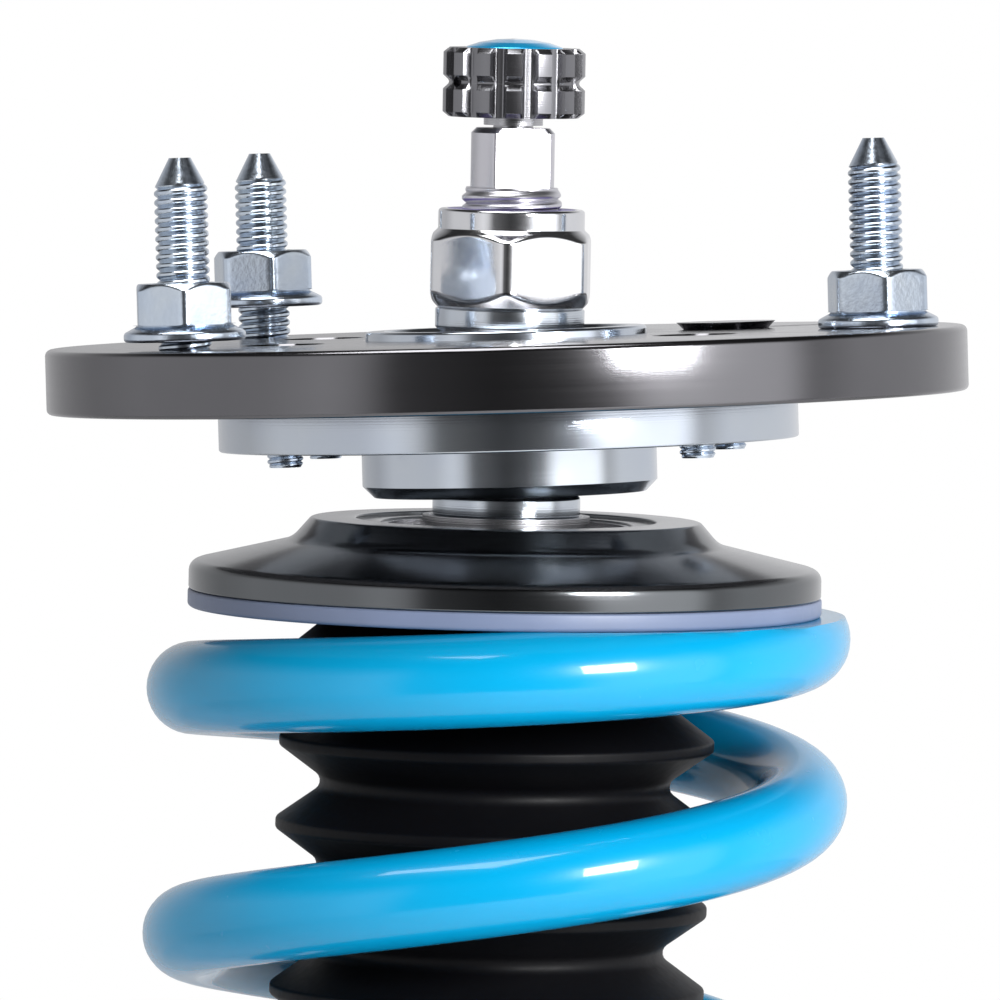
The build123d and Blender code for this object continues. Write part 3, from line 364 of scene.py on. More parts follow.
SCREW_RADIUS = 34.0
SCREW_ANGLES = (-32.0, 32.0, 148.0, 212.0)
SCREW_SEAT_R, SCREW_HOLE_R = 6.0, 2.6
STUD_NAMES = ("stud_right", "stud_rear", "stud_front")


def lean_point(angle, radius, height):
    """A point given round the leaning axis, in millimetres there, as a place in the frame in metres."""
    turn = radians(angle)
    return LEANING @ Vector((radius * cos(turn), radius * sin(turn), height)) * MM


def drilled(piece, cutters):
    """Cuts pieces out of another and applies the cut, so that no modifier is left."""
    for cutter in cutters:
        cut = piece.modifiers.new("cut", "BOOLEAN")
        cut.operation = "DIFFERENCE"
        cut.object = cutter
        cut.solver = "EXACT"
    bpy.context.view_layer.update()
    result = bpy.data.meshes.new_from_object(piece.evaluated_get(bpy.context.evaluated_depsgraph_get()))
    piece.modifiers.clear()
    piece.data = result
    result.set_sharp_from_angle(angle=SHARP_EDGE)
    for cutter in cutters:
        bpy.data.objects.remove(cutter)


seats = []
for number, angle in enumerate(SCREW_ANGLES):
    spot = Matrix.Translation(lean_point(angle, SCREW_RADIUS, 0)) @ LEANING
    seats.append(turned(f"seat_cutter_{number}", [
        (0, plate_base - 1), (SCREW_HOLE_R, plate_base - 1),
        (SCREW_HOLE_R, plate_top - SCREW_SEAT_R + SCREW_HOLE_R), (SCREW_SEAT_R, plate_top),
        (SCREW_SEAT_R + 1.0, plate_top + 1.0), (0, plate_top + 1.0),
    ], UPRIGHT, around=64))
    seats[-1].data.transform(Matrix.Scale(1 / MM, 4))
    seats[-1].data.transform(spot @ Matrix.Scale(MM, 4))
drilled(plate, seats)
dress(plate, "top_mount", ANODISED_LEAN, "top_plate")
print("plate radius", round(plate_r, 1), "thickness", round(plate_top - plate_base, 1))

# %% [markdown]
# ## Bearing housing
# Zinc plated steel in one turning: a flange that lies under the plate, a boss that stands up through it and a
# nose below with a wide chamfer. It is hollow, and from above the race and ball can be seen inside.

# %% Housing
housing_r, nose_base, housing_top = reach("bearing_housing", LEANING)
flange_base, flange_top = -4.4, 1.48
nose_r, mouth_r, bore_r, boss_outer = 20.65, 14.0, 16.0, 19.7
race_half, ring_top = 6.0, 7.22
housing = turned("bearing_housing_turned", [
    (mouth_r, nose_base, 0.4), (nose_r - 1.6, nose_base, 0.15), (nose_r, nose_base + 1.6, 0.15),
    (nose_r, flange_base, 0.3), (housing_r, flange_base, 0.35), (housing_r, flange_top, 0.35),
    (boss_outer, flange_top), (boss_outer, housing_top, 0.5), (bore_r + 1.0, housing_top, 0.2),
    (bore_r, housing_top - 1.0, 0.2), (bore_r, ring_top), (bore_r + 1.0, ring_top), (bore_r + 1.0, race_half),
    (bore_r, race_half), (bore_r, -race_half), (mouth_r, -race_half, 0.3),
], LEANING, around=192)
dress(housing, "top_mount", ZINC_LEAN, "bearing_housing")

# %% [markdown]
# ## Threads
# A rolled thread is a ridge that climbs one pitch per turn. The mesh follows that climb: its rows of points
# run along the ridge instead of level, so crest and root stay sharp with few faces. The ridge fades out over
# the last turn at each end, as a real thread does where it runs out.

# %% A helical skin
THREAD_ROWS = 8


def thread_profile(part):
    """Ridge height from 0 at the root to 1 at the crest, over one pitch: broad crest, narrow root."""
    ridge = 1.0 - abs(2.0 * part - 1.0)
    return min(1.0, 1.6 * ridge)


def threaded(name, crest_r, pitch, low, high, place=UPRIGHT, around=48, tip=None, depth_share=0.4):
    """A solid threaded bar from low to high. tip = (length, radius) adds a cone at its upper end."""
    depth = depth_share * pitch
    core = crest_r - depth
    tip_length, tip_r = tip or (0.0, crest_r)
    turns = ceil((high - low) / pitch) + 2
    build = bmesh.new()
    columns = []
    for step in range(around):
        angle = tau * step / around
        column = []
        for row in range(turns * THREAD_ROWS):
            height = low + pitch * (row / THREAD_ROWS - 1 + step / around)
            clamped = min(max(height, low), high)
            fade = min(1.0, max(0.0, min(clamped - low, high - clamped) / (0.8 * pitch)))
            wide = core + depth * fade * thread_profile((row % THREAD_ROWS) / THREAD_ROWS)
            if tip and clamped > high - tip_length:
                share = (high - clamped) / tip_length
                wide = min(wide, tip_r + (crest_r - tip_r) * share)
            if clamped in (low, high):
                wide = min(core, tip_r) if clamped == high else core
            column.append(build.verts.new((wide * cos(angle), wide * sin(angle), clamped)))
        columns.append(column)
    rows = turns * THREAD_ROWS
    for step in range(around):
        here, following = columns[step], columns[(step + 1) % around]
        # the last column meets the first one pitch higher up
        shift = THREAD_ROWS if step == around - 1 else 0
        for row in range(rows - 1):
            near, far = min(row + shift, rows - 1), min(row + 1 + shift, rows - 1)
            build.faces.new(dict.fromkeys((here[row], following[near], following[far], here[row + 1])))
    bottom = [column[0] for column in columns]
    top = [column[-1] for column in columns]
    for cap in (bottom, top):
        hub = build.verts.new((0, 0, cap[0].co.z))
        for index, corner in enumerate(cap):
            build.faces.new((corner, cap[(index + 1) % around], hub))
    for row in range(THREAD_ROWS):
        build.faces.new((columns[-1][0], columns[0][row], columns[0][row + 1]))
    return as_object(name, closed_mesh(name, build), place)


# %% [markdown]
# ## Mounting studs and their flange nuts
# Three M8 studs stand on the plate, each with a cone that finds the hole in the car's tower. Their nuts are
# run down to different heights. A flange nut is a hexagon with chamfered corners on a conical washer: one
# skin, where the radius is the hexagon's or the cone's, whichever is larger at that height.

# %% Studs
STUD_R, STUD_PITCH = 3.68, 1.25
TIP_LENGTH, TIP_END_R = 4.2, 1.5
STUD_CIRCLE = 52.4
STUD_ANGLES = (0.0, 139.3, 220.7)
NUT_LIFTS = (0.0, 4.5, 1.2)
NUT_TURNS = (47.4, 51.3, 40.4)
stud_top = reach("mount_studs", LEANING)[2]
for stud_name, angle in zip(STUD_NAMES, STUD_ANGLES):
    spot = Matrix.Translation(lean_point(angle, STUD_CIRCLE, 0)) @ LEANING
    stud = threaded(f"{stud_name}_m8", STUD_R, STUD_PITCH, plate_top - 1.0, stud_top, around=72,
                    tip=(TIP_LENGTH, TIP_END_R))
    stud.data.transform(spot)
    dress(stud, "top_mount", ZINC_FASTENER, "mount_studs")

# %% Flange nuts
NUT_AF, NUT_HEIGHT, NUT_RIM_R = 12.9, 8.0, 8.4
NUT_BORE_R = 3.6
SOFTNESS = 70  # the higher, the crisper the edge where cone and flat meet


def hexagon(radius, height, angle, flats, turn):
    """The radius of a point held softly inside a hexagon of that width across flats."""
    sector = (angle - turn) % (pi / 3) - pi / 6
    flat = flats / 2 / cos(sector)
    if radius < flat * 0.8:
        return radius
    return (radius**-SOFTNESS + flat**-SOFTNESS) ** (-1 / SOFTNESS)


def hex_angles(turn, between=20):
    """Stations round the axis that land on the hexagon's corners."""
    return [turn + tau * step / (6 * between) for step in range(6 * between)]


def flange_nut(name, turn):
    """Outline from the bore out under the flange and up the hexagon, in millimetres above the plate."""
    corner = NUT_AF / sqrt(3) - 0.15
    rim, cone = 1.25, 2.3
    outline = [
        (NUT_BORE_R, 0.0), (NUT_RIM_R, 0.0, 0.5), (NUT_RIM_R, rim, 0.6), (NUT_AF / 2 - 0.1, cone, 0.5),
        (corner, cone, 0.2), (corner, NUT_HEIGHT - 1.0, 0.4), (NUT_AF / 2 - 0.2, NUT_HEIGHT, 0.3),
        (NUT_BORE_R + 1.0, NUT_HEIGHT, 0.2), (NUT_BORE_R, NUT_HEIGHT - 0.9),
    ]

    def shape(radius, height, angle):
        sector = (angle - turn) % (pi / 3) - pi / 6
        flat = NUT_AF / 2 / cos(sector)
        if height > cone:
            return hexagon(radius, height, angle, NUT_AF, turn)
        slope = NUT_RIM_R - (height - rim) * (NUT_RIM_R - NUT_AF / 2 + 0.1) / (cone - rim)
        return max(radius, min(flat, slope)) if height > rim else radius

    return turned(name, outline, UPRIGHT, shape, angles=hex_angles(turn), row_step=0.3)


for stud_name, angle, lift, turn in zip(STUD_NAMES, STUD_ANGLES, NUT_LIFTS, NUT_TURNS):
    spot = Matrix.Translation(lean_point(angle, STUD_CIRCLE, plate_top + lift)) @ LEANING
    nut = flange_nut(f"{stud_name}_flange_nut", radians(turn))
    nut.data.transform(spot)
    dress(nut, "top_mount", ZINC_FASTENER, "stud_nuts")

# %% [markdown]
# ## Housing screws
# Four countersunk screws clamp the housing's flange to the plate. Their heads sit a hair below the face, each
# with a hexagon socket, and their threaded tips show under the flange.

# %% Screws
TIP_R, SCREW_PITCH, HEAD_R = 2.5, 0.8, 5.7
SOCKET_FLATS, SOCKET_DEPTH = 4.0, 2.5
socket_corner = SOCKET_FLATS / 2 / cos(pi / 6)
screw_base = -6.4
screw_head = plate_top - 0.3


def socketed(radius, height, angle):
    """The hexagon of the key socket, held to the socket's own wall."""
    if not 1 < radius < 2.4:
        return radius
    return min(radius, SOCKET_FLATS / 2 / cos(angle % (pi / 3) - pi / 6))


for number, angle in enumerate(SCREW_ANGLES):
    spot = Matrix.Translation(lean_point(angle, SCREW_RADIUS, 0)) @ LEANING
    head = turned(f"screw_{number}_head", [
        (0.0, screw_head - SOCKET_DEPTH), (socket_corner, screw_head - SOCKET_DEPTH),
        (socket_corner, screw_head), (HEAD_R, screw_head, 0.2), (TIP_R, screw_head - HEAD_R + TIP_R),
        (TIP_R, flange_base + 0.5), (0.0, flange_base + 0.5),
    ], UPRIGHT, socketed, around=72)
    head.data.transform(spot)
    dress(head, "top_mount", ZINC_FASTENER, "housing_screws")
    tip = threaded(f"screw_{number}_tip", TIP_R, SCREW_PITCH, screw_base, flange_base + 1.0, around=48)
    tip.data.transform(spot)
    dress(tip, "top_mount", ZINC_FASTENER, "housing_screws")

# %% [markdown]
# ## Ball, collar and spacer
# The rod passes through a steel ball in a race, so that the strut may swing under the fixed plate. A collar
# above and a spacer below clamp the ball. Their CAD shapes are exact, so they keep their nodes where they are
# hidden; the collar and the spacer are turned again with broken edges, because both are seen.

# %% Clamped pieces
collar_r, collar_base, collar_top = reach("upper_collar")
spacer_r, spacer_base, spacer_top = reach("lower_spacer")
SPIGOT_R, NECK_R = 7.02, 8.0
collar = turned("upper_collar_turned", [
    (SPIGOT_R, collar_base), (NECK_R, collar_base, 0.2), (NECK_R, collar_base + 2.0, 0.4),
    (collar_r, collar_base + 2.0 + collar_r - NECK_R, 0.4), (collar_r, collar_top, 0.25),
    (SPIGOT_R, collar_top),
])
dress(collar, "rod", ZINC, "upper_collar")
spacer = turned("lower_spacer_turned", [
    (SPIGOT_R, spacer_top), (SPIGOT_R, spacer_base), (spacer_r, spacer_base, 0.3),
    (spacer_r, spacer_top - 2.0 - spacer_r + NECK_R, 0.4), (NECK_R, spacer_top - 2.0, 0.4),
    (NECK_R, spacer_top, 0.2),
])
dress(spacer, "rod", ZINC, "lower_spacer")

# %% [markdown]
# ## Rod nut
# A tall prevailing-torque nut: a 22 mm hexagon chamfered on both ends, and a round collar above that holds a
# nylon ring. The chamfer is a cone, and where it meets the flats it leaves the arcs that make a nut look like
# a nut.

# %% Nut
nut_low, nut_high = reach("rod_nut")[1:]
ROD_NUT_AF, ROD_NUT_TURN = 22.0, radians(-92.7)
COLLAR_R, HEX_HEIGHT = 10.25, 10.9
hex_top = nut_low + HEX_HEIGHT
nut_corner = ROD_NUT_AF / sqrt(3) - 0.35


def nut_shape(radius, height, angle):
    """The hexagon holds the lower part only; the collar above it stays round."""
    return hexagon(radius, height, angle, ROD_NUT_AF, ROD_NUT_TURN) if height < hex_top else radius


rod_nut = turned("rod_nut_forged", [
    (SPIGOT_R, nut_low), (ROD_NUT_AF / 2 - 0.9, nut_low, 0.2), (nut_corner, nut_low + 2.3, 0.8),
    (nut_corner, hex_top - 1.5, 0.5), (COLLAR_R + 0.3, hex_top - 0.1, 0.3), (COLLAR_R, hex_top + 0.2, 0.2),
    (COLLAR_R, nut_high, 2.0), (9.1, nut_high, 0.1), (9.0, nut_high - 0.5), (SPIGOT_R, nut_high - 0.5),
], UPRIGHT, nut_shape, angles=hex_angles(ROD_NUT_TURN, 28), row_step=0.35)
dress(rod_nut, "rod", NICKEL, "rod_nut")

# %% [markdown]
# ## Piston rod
# Ground and hard chromed below, threaded M14 at the top, and milled with two flats at its end so that it can
# be held while the nut is tightened. The thread is its own skin over a plain core.

# %% Rod
ROD_R, ROD_BORE_R = 10.0, 3.0
rod_low, rod_high = reach("piston_rod")[1:]
SHOULDER_DROP, GROUND_LENGTH = 12.1, 145.0
shoulder = spacer_base - SHOULDER_DROP
thread_top = 31.5
ROD_END_R, ROD_FLATS, ROD_FLAT_TURN = 5.85, 8.3, radians(20.0)
rod = turned("piston_rod_ground", [
    (ROD_BORE_R, rod_low), (5.2, rod_low, 0.2), (6.0, rod_low + 0.8, 0.2), (6.0, shoulder - GROUND_LENGTH),
    (ROD_R, shoulder - GROUND_LENGTH, 0.6), (ROD_R, shoulder, 0.6), (6.4, shoulder), (6.0, thread_top - 0.3),
    (ROD_BORE_R, thread_top - 0.3),
])
dress(rod, "rod", CHROME, "piston_rod")


def milled(radius, height, angle):
    """Two flats across the rod's end."""
    across = abs(cos(angle - ROD_FLAT_TURN + pi / 2))
    return min(radius, ROD_FLATS / 2 / across) if across > 1e-6 else radius


rod_end = turned("rod_end_flats", [
    (ROD_BORE_R, thread_top - 0.6), (ROD_END_R, thread_top - 0.6), (ROD_END_R, rod_high - 0.7),
    (ROD_END_R - 0.7, rod_high), (ROD_BORE_R, rod_high, 0.2),
], UPRIGHT, milled, around=240)
dress(rod_end, "rod", MILLED)
rod_thread = threaded("rod_thread_m14", 7.0, 1.5, nut_high - 3.0, thread_top, around=72)
dress(rod_thread, "rod", MILLED)

# %% [markdown]
# ## Damping knob
# The knob turns the metering rod inside the hollow piston rod. It is fluted for grip, with a groove round its
# waist where a grub screw bites on the stem, and a domed blue cap on top.

# %% Knob
knob_r, knob_low, knob_high = reach("adjuster_knob")
FLUTES = 14
FLUTE_HALF, FLUTE_DEPTH = radians(4.6), 1.15
waist_height = (knob_low + knob_high) / 2
CAP_R = 6.8


def fluted(radius, height, angle):
    """Flutes are cut only into the outer skin, with sloping sides."""
    if radius < knob_r - 2.6:
        return radius
    nearest = (angle + pi / FLUTES) % (tau / FLUTES) - pi / FLUTES
    cut = min(1.0, max(0.0, (FLUTE_HALF * 1.5 - abs(nearest)) / (FLUTE_HALF * 0.7)))
    return min(radius, knob_r - FLUTE_DEPTH * cut) if cut > 0 else radius


knob = turned("adjuster_knob_fluted", [
    (4.2, knob_low), (knob_r - 0.9, knob_low, 0.3), (knob_r, knob_low + 0.7, 0.2),
    (knob_r, waist_height - 1.0, 0.15),
    (knob_r - 1.1, waist_height, 0.5), (knob_r, waist_height + 1.0, 0.15), (knob_r, knob_high - 0.7, 0.2),
    (knob_r - 0.9, knob_high, 0.3), (CAP_R + 0.1, knob_high, 0.1), (CAP_R + 0.1, knob_high - 1.4),
    (4.2, knob_high - 1.4),
], UPRIGHT, fluted, around=FLUTES * 26)

# %% [markdown]
# The grub screw sits in a small round hole at the bottom of the waist groove, drilled square to the axis.

# %% Grub screw hole
GRUB_R, GRUB_TURN = 1.25, radians(209)
grub_place = (Matrix.Translation((0, 0, waist_height * MM)) @ Matrix.Rotation(GRUB_TURN, 4, "Z")
              @ Matrix.Rotation(pi / 2, 4, "Y"))
grub_hole = turned("grub_cutter", [
    (0.0, knob_r - 3.5), (GRUB_R, knob_r - 3.5), (GRUB_R, knob_r + 1.0), (0.0, knob_r + 1.0),
], grub_place, around=32)
drilled(knob, [grub_hole])
dress(knob, "knob", GUNMETAL, "adjuster_knob")

# %% [markdown]
# The cap is a thin blue disc with a low dome, pressed into the knob's top.

# %% Cap
cap_low, cap_high = reach("knob_cap")[1:]
cap = turned("knob_cap_domed", [
    (0.0, cap_low), (CAP_R, cap_low, 0.1), (CAP_R, knob_high + 0.1, 0.3),
    (CAP_R * 0.72, knob_high + 0.75, 1.5), (CAP_R * 0.38, cap_high - 0.15, 2.0), (0.0, cap_high),
])
dress(cap, "knob", CAP_BLUE, "knob_cap")

# %% [markdown]
# ## Upper spring seat
# The seat is turned from black anodised aluminium: a flat crown round the bearing, a steep shoulder, a
# shallow dished skirt and an upright rim. The skirt's outline is a handful of corners, each with its own
# radius, so that the light rolls over it as on the real turning.

# %% Seat and upper pad
seat_r, seat_low, seat_top = reach("spring_seat")
CROWN_R, SEAT_BORE_R, HUB_R = 27.3, 17.52, 23.0
BEARING_SHELF, PAD_BORE_R = -26.52, 30.0
rim_base = reach("upper_spring_pad")[2]
seat = turned("spring_seat_turned", [
    (SEAT_BORE_R - 1.8, seat_low), (HUB_R, seat_low, 0.5), (HUB_R, rim_base), (seat_r, rim_base, 0.4),
    (seat_r, seat_top - 6.5, 1.6), (CROWN_R + 2.7, seat_top - 3.1, 4.0), (CROWN_R, seat_top, 0.8),
    (SEAT_BORE_R + 3.5, seat_top, 0.2), (SEAT_BORE_R + 3.5, seat_top - 0.5),
    (SEAT_BORE_R, seat_top - 0.5, 0.2), (SEAT_BORE_R, BEARING_SHELF), (SEAT_BORE_R - 1.8, BEARING_SHELF),
], around=256)
dress(seat, "upper_seat", ANODISED_SEAT, "spring_seat")

pad_r, pad_low, pad_top = reach("upper_spring_pad")
pad = turned("upper_spring_pad_moulded", [
    (PAD_BORE_R, pad_low, 0.3), (pad_r, pad_low, 0.6), (pad_r, pad_top, 0.4), (PAD_BORE_R, pad_top, 0.3),
], around=192)
dress(pad, "upper_seat", PAD_BLUE, "upper_spring_pad")

# %% [markdown]
# ## Coil spring
# The wire is wound with a pitch that opens over the first turns, runs even through the middle and closes
# again, and both ends are ground flat. A ring of points is carried along that line, square to it, and the
# points that would stand past the ground face are laid on it, which is just what grinding does. Over the last
# fifth of a turn the wire rises into that face, so that its end thins out.

# %% Spring
WIRE_R = 6.5
spring_outer, spring_low, spring_high = reach("coil_spring")
COIL_R = spring_outer - WIRE_R
END_TURNS, TIP_PITCH, TIP_DEPTH, OPEN_PITCH = 1.84, 2.0, 0.5, 45.0
TIP_ANGLE = 142.0
TIP_RISE, TIP_RUN = 4.6, 0.2
SIDE_PLAY = -0.7          # the spring rests a little off centre on its pads
end_drop = END_TURNS * (TIP_PITCH + OPEN_PITCH) / 2
mid_turns = (spring_high - spring_low - 2 * (end_drop + TIP_DEPTH)) / OPEN_PITCH
spring_turns = 2 * END_TURNS + mid_turns


def coil_drop(turn):
    """Millimetres below the upper tip after this many turns."""
    if turn <= END_TURNS:
        return TIP_PITCH * turn + (OPEN_PITCH - TIP_PITCH) * turn**2 / (2 * END_TURNS)
    if turn <= END_TURNS + mid_turns:
        return end_drop + OPEN_PITCH * (turn - END_TURNS)
    return 2 * end_drop + mid_turns * OPEN_PITCH - coil_drop(spring_turns - turn)


def tip_lift(turn):
    """How far the drawn-out end of the wire runs up into the ground face."""
    return TIP_RISE * max(0.0, 1 - turn / TIP_RUN) ** 2


def coil_place(turn):
    """The wire's centre line."""
    angle = radians(TIP_ANGLE - 360 * turn)
    height = spring_high - TIP_DEPTH - coil_drop(turn) + tip_lift(turn) - tip_lift(spring_turns - turn)
    return Vector((COIL_R * cos(angle), COIL_R * sin(angle), height))


def ground(side, rise, lowest, highest):
    """Lays a point of the wire's ring on the ground face if it would stand past it."""
    limit = min(max(rise, lowest), highest)
    if limit == rise:
        return side, rise
    chord = sqrt(WIRE_R**2 - limit**2) if (rise > 0) != (limit > 0) else WIRE_R
    return min(max(side, -chord), chord), limit


RING_POINTS, RINGS_PER_TURN = 40, 96
ring_count = round(spring_turns * RINGS_PER_TURN)
build = bmesh.new()
rings = []
for index in range(ring_count + 1):
    turn = spring_turns * index / ring_count
    centre = coil_place(turn)
    ahead = (coil_place(min(turn + 0.001, spring_turns)) - coil_place(max(turn - 0.001, 0))).normalized()
    outward = Vector((centre.x, centre.y, 0)).normalized()
    upward = ahead.cross(outward).normalized()
    ring = []
    for step in range(RING_POINTS):
        angle = tau * step / RING_POINTS
        side, rise = ground(WIRE_R * cos(angle), WIRE_R * sin(angle),
                            spring_low - centre.z, spring_high - centre.z)
        point = centre + side * outward + rise * upward
        point.z = min(max(point.z, spring_low), spring_high)
        ring.append(build.verts.new(point))
    rings.append(ring)
for first, second in zip(rings, rings[1:]):
    for step in range(RING_POINTS):
        ahead_step = (step + 1) % RING_POINTS
        build.faces.new((first[step], first[ahead_step], second[ahead_step], second[step]))
build.faces.new(rings[0])
build.faces.new(rings[-1])
spring = as_object("coil_spring_wound", closed_mesh("coil_spring_wound", build),
                   Matrix.Translation((SIDE_PLAY * MM, 0, 0)))
dress(spring, "upper_seat", SPRING_BLUE, "coil_spring")
print("spring turns", round(spring_turns, 2))

# %% [markdown]
# ## Dust boot
# A pleated rubber sleeve keeps grit off the rod. Its crests are rounded lips and its valleys are tighter. The
# outline zigzags down the boot, and the broken corners of the turned helper make the pleats round.

# %% Boot
crest_r, boot_low, boot_top = reach("dust_boot")
VALLEY_R, BOOT_PITCH, FIRST_CREST, BOOT_WALL = 23.4, 11.65, -34.65, 1.4
BOOT_BOW = 1.6           # rubber never hangs quite straight
crests = int((boot_top - boot_low - 10) / BOOT_PITCH)
collar_bore = HUB_R + GAP
neck = FIRST_CREST + BOOT_PITCH / 2
outside = [(collar_bore + BOOT_WALL, boot_top, 0.3), (collar_bore + BOOT_WALL, neck, 0.6)]
inside = [(collar_bore, boot_top), (collar_bore, neck + 0.4)]
for number in range(crests):
    height = FIRST_CREST - number * BOOT_PITCH
    outside += [
        (crest_r, height + 0.7, 0.7), (crest_r, height - 0.7, 0.7), (VALLEY_R, height - BOOT_PITCH / 2, 1.6),
    ]
    inside += [(crest_r - 2.4, height, 0.6), (VALLEY_R - BOOT_WALL, height - BOOT_PITCH / 2, 0.8)]
outside.append((VALLEY_R, boot_low, 0.4))
inside.append((VALLEY_R - BOOT_WALL, boot_low))
boot = turned("dust_boot_pleated", outside + inside[::-1], around=128)
for vertex in boot.data.vertices:
    share = (boot_top * MM - vertex.co.z) / ((boot_top - boot_low) * MM)
    vertex.co.x -= BOOT_BOW * MM * sin(pi * share)
dress(boot, "upper_seat", RUBBER, "dust_boot")

# %% [markdown]
# ## Damper body
# The lower half is a standard coilover body: a steel sleeve with a long M54 thread, a dished perch for the
# spring, spanner rings that lock perch and bracket, and the gland that the rod slides through.

# %% Sleeve and gland
sleeve_r, sleeve_low, sleeve_top = reach("threaded_sleeve")
SLEEVE_PITCH = 2.0
sleeve = threaded("threaded_sleeve_m54", sleeve_r, SLEEVE_PITCH, sleeve_low, sleeve_top, around=96,
                  depth_share=0.5)
dress(sleeve, "damper_body", ZINC, "threaded_sleeve")
gland_r, gland_low, gland_high = reach("gland_cap")
rod_hole = reach("rod_wiper")[0] + 0.02
gland = turned("gland_cap_turned", [
    (rod_hole, gland_low), (gland_r, gland_low, 0.3), (gland_r, gland_high - 2.5, 0.3),
    (gland_r - 2.2, gland_high, 0.6), (rod_hole, gland_high, 0.3),
], around=128)
dress(gland, "damper_body", ANODISED, "gland_cap")

# %% Perch, pad and spanner rings
RING_R, RING_SLOTS, SLOT_HALF, SLOT_SIDE = 35.0, 8, 3.5, 0.25
SLOT_DEEP = 3.0
PERCH_SPIGOT_R, LOWER_PAD_BORE_R = 32.0, 32.5
sleeve_bore = sleeve_r + GAP


def slotted(outer):
    """Spanner slots across the rim of a ring with this outer radius."""
    def shape(radius, height, angle):
        nearest = (angle + pi / RING_SLOTS) % (tau / RING_SLOTS) - pi / RING_SLOTS
        inward = (SLOT_HALF + SLOT_SIDE - abs(nearest) * outer) / SLOT_SIDE
        cut = min(1.0, max(0.0, inward))
        return min(radius, outer - SLOT_DEEP * cut)
    return shape


def slot_angles(outer):
    """Even stations, with extra ones where the slots' walls stand."""
    walls = [(SLOT_HALF + side) / outer for side in (0.0, SLOT_SIDE)]
    stations = {tau * step / 160 for step in range(160)}
    for slot in range(RING_SLOTS):
        middle = tau * slot / RING_SLOTS
        stations |= {(middle + way * wall) % tau for wall in walls for way in (-1, 1)}
    return sorted(stations)


for node, body in (("adjuster_ring", "height_adjuster"), ("perch_lock_ring", "height_adjuster"),
                   ("bracket_lock_ring", "bracket")):
    low, high = reach(node)[1:]
    nut = turned(f"{node}_slotted", [
        (sleeve_bore, low, 0.5), (RING_R, low, 0.6), (RING_R, high, 0.6), (sleeve_bore, high, 0.5),
    ], UPRIGHT, slotted(RING_R), angles=slot_angles(RING_R))
    dress(nut, body, ANODISED, node)

perch_r, perch_low, perch_high = reach("lower_spring_perch")
perch_face = reach("lower_spring_pad")[1]
perch = turned("lower_perch_turned", [
    (sleeve_bore, perch_low, 0.4), (RING_R, perch_low, 0.8), (perch_r, perch_face - 4.0, 1.2),
    (perch_r, perch_face, 0.6), (PERCH_SPIGOT_R, perch_face, 0.3), (PERCH_SPIGOT_R, perch_high, 0.8),
    (sleeve_bore, perch_high, 0.4),
], around=224)
dress(perch, "lower_seat", ANODISED, "lower_spring_perch")
low_pad_r, low_pad_base, low_pad_top = reach("lower_spring_pad")
low_pad = turned("lower_spring_pad_moulded", [
    (LOWER_PAD_BORE_R, low_pad_base, 0.3), (low_pad_r, low_pad_base, 0.6), (low_pad_r, low_pad_top, 0.4),
    (LOWER_PAD_BORE_R, low_pad_top, 0.3),
], around=192)
dress(low_pad, "lower_seat", PAD_BLUE, "lower_spring_pad")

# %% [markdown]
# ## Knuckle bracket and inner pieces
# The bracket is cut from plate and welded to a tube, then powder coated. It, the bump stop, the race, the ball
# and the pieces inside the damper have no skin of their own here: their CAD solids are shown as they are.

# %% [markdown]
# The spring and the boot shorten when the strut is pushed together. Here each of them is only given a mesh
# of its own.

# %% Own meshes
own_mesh(spring)
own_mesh(boot)

# %% [markdown]
# ## Light and camera
# A long lens from well back keeps the strut's sides nearly parallel. The studio is a white room with one tall
# softbox right of the camera and dark gaps between: turned metal shows that room as upright bands, which is
# how the eye reads it as metal. The bands are painted on the world by direction.

# %% Studio world
world = bpy.data.worlds.new("studio")
bpy.context.scene.world = world
world.use_nodes = True
wires = world.node_tree
wires.nodes.clear()
join = wires.links.new
direction = wires.nodes.new("ShaderNodeTexCoord")
apart = wires.nodes.new("ShaderNodeSeparateXYZ")
join(direction.outputs["Generated"], apart.inputs["Vector"])
toward = wires.nodes.new("ShaderNodeMath")
toward.operation = "MULTIPLY"
toward.inputs[1].default_value = -1.0
join(apart.outputs["Y"], toward.inputs[0])
bearing = wires.nodes.new("ShaderNodeMath")
bearing.operation = "ARCTAN2"
join(apart.outputs["X"], bearing.inputs[0])
join(toward.outputs["Value"], bearing.inputs[1])
around_share = wires.nodes.new("ShaderNodeMapRange")
around_share.inputs["From Min"].default_value = -pi
around_share.inputs["From Max"].default_value = pi
join(bearing.outputs["Value"], around_share.inputs["Value"])
bands = wires.nodes.new("ShaderNodeValToRGB")
join(around_share.outputs["Result"], bands.inputs["Fac"])
BANDS = [(-180, 0.6), (-125, 0.52), (-104, 0.74), (-60, 0.74), (-45, 0.98), (-37, 0.8), (-28, 0.16),
         (-2, 0.05), (14, 0.1), (27, 0.3), (35, 1.3), (39, 1.65), (73, 1.65), (82, 0.55), (97, 0.9),
         (180, 0.8)]
while len(bands.color_ramp.elements) < len(BANDS):
    bands.color_ramp.elements.new(0.5)
for element, (bearing_degrees, level) in zip(bands.color_ramp.elements, BANDS):
    element.position = (bearing_degrees + 180) / 360
    element.color = (level, level, level * 1.02, 1)

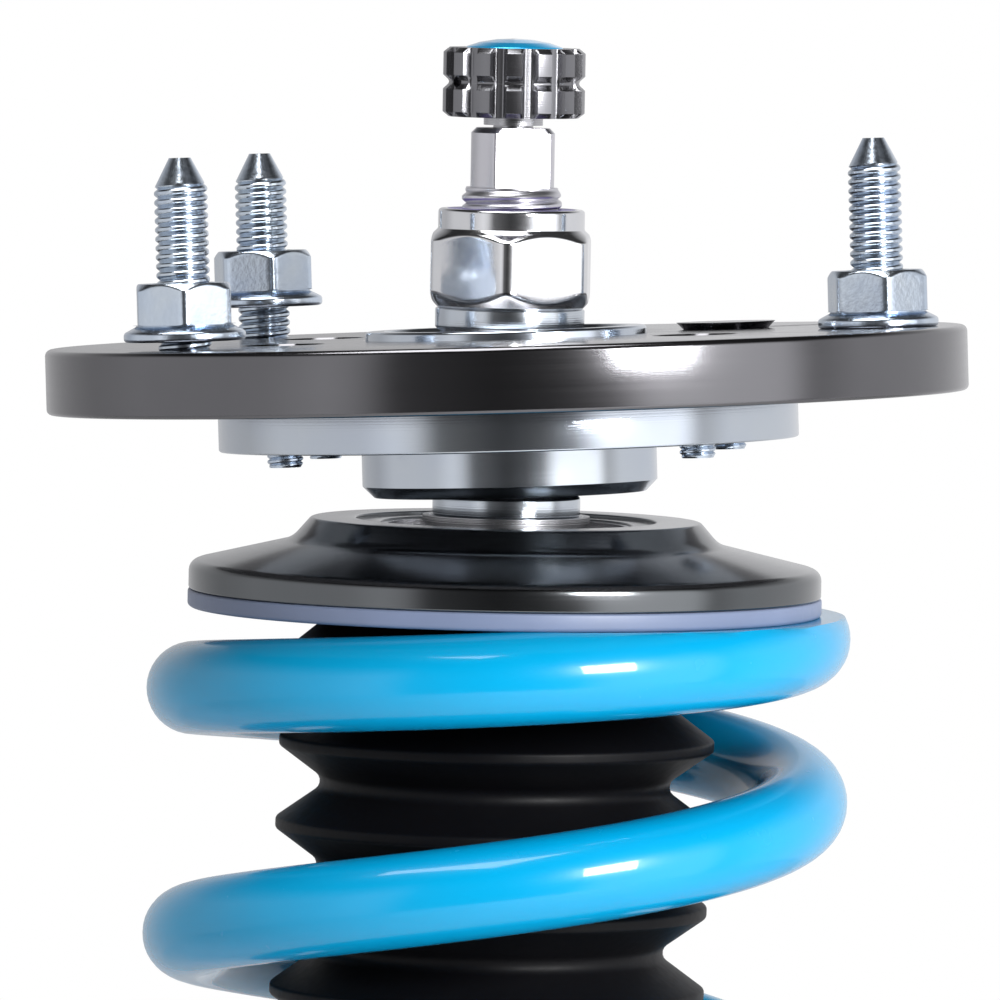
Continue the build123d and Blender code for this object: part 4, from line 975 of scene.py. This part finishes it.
ceiling = wires.nodes.new("ShaderNodeMapRange")
ceiling.inputs["From Min"].default_value = 0.3
ceiling.inputs["From Max"].default_value = 0.62
ceiling.inputs["To Min"].default_value = 1.0
ceiling.inputs["To Max"].default_value = 0.05
join(apart.outputs["Z"], ceiling.inputs["Value"])
dimmed = wires.nodes.new("ShaderNodeVectorMath")
dimmed.operation = "SCALE"
join(bands.outputs["Color"], dimmed.inputs[0])
join(ceiling.outputs["Result"], dimmed.inputs["Scale"])

lit = wires.nodes.new("ShaderNodeBackground")
join(dimmed.outputs["Vector"], lit.inputs["Color"])
lit.inputs["Strength"].default_value = 1.0
white = wires.nodes.new("ShaderNodeBackground")
white.inputs["Color"].default_value = (1, 1, 1, 1)
white.inputs["Strength"].default_value = 1.0
ray = wires.nodes.new("ShaderNodeLightPath")
either = wires.nodes.new("ShaderNodeMixShader")
join(ray.outputs["Is Camera Ray"], either.inputs["Fac"])
join(lit.outputs["Background"], either.inputs[1])
join(white.outputs["Background"], either.inputs[2])
out = wires.nodes.new("ShaderNodeOutputWorld")
join(either.outputs["Shader"], out.inputs["Surface"])


# %% Softboxes


def softbox(name, place, aim, size, power):
    """A square area light that faces a point."""
    data = bpy.data.lights.new(name, "AREA")
    data.shape = "SQUARE"
    data.size = size
    data.energy = power
    box = bpy.data.objects.new(name, data)
    bpy.context.scene.collection.objects.link(box)
    box.location = place
    box.rotation_euler = (Vector(aim) - Vector(place)).to_track_quat("-Z", "Y").to_euler()
    return box


softbox("key_softbox", (0.75, -1.05, 0.35), (0, 0, -0.05), 0.42, 22)
softbox("top_softbox", (-0.2, -0.2, 1.3), (0, 0, 0), 0.9, 16)

# %% Floor
floor_z = cad_box[0][2]
bpy.ops.mesh.primitive_circle_add(vertices=96, radius=0.9, fill_type="NGON",
                                  location=(0, 0, floor_z - 0.0005))
floor_disc = bpy.context.object
floor_disc.name = "studio_floor"
floor_disc.data.materials.append(finish("pale_floor", (0.8, 0.8, 0.8), rough=0.7, grain=60, bump=0.0))

# %% Camera
ELEVATION, ROLL = radians(3.2), radians(1.05)
LENS, DISTANCE = 414.0, 1.61
AIM = Vector((-0.9, 0.0, -12.3)) * MM
camera_data = bpy.data.cameras.new("camera")
camera_data.lens = LENS
camera_data.sensor_width = 36.0
camera = bpy.data.objects.new("camera", camera_data)
bpy.context.scene.collection.objects.link(camera)
camera.location = AIM + DISTANCE * Vector((0, -cos(ELEVATION), sin(ELEVATION)))
level = (AIM - camera.location).to_track_quat("-Z", "Y").to_matrix().to_4x4()
camera.matrix_world = Matrix.Translation(camera.location) @ level @ Matrix.Rotation(ROLL, 4, "Z")
bpy.context.scene.camera = camera
bpy.context.scene.view_settings.view_transform = "Standard"
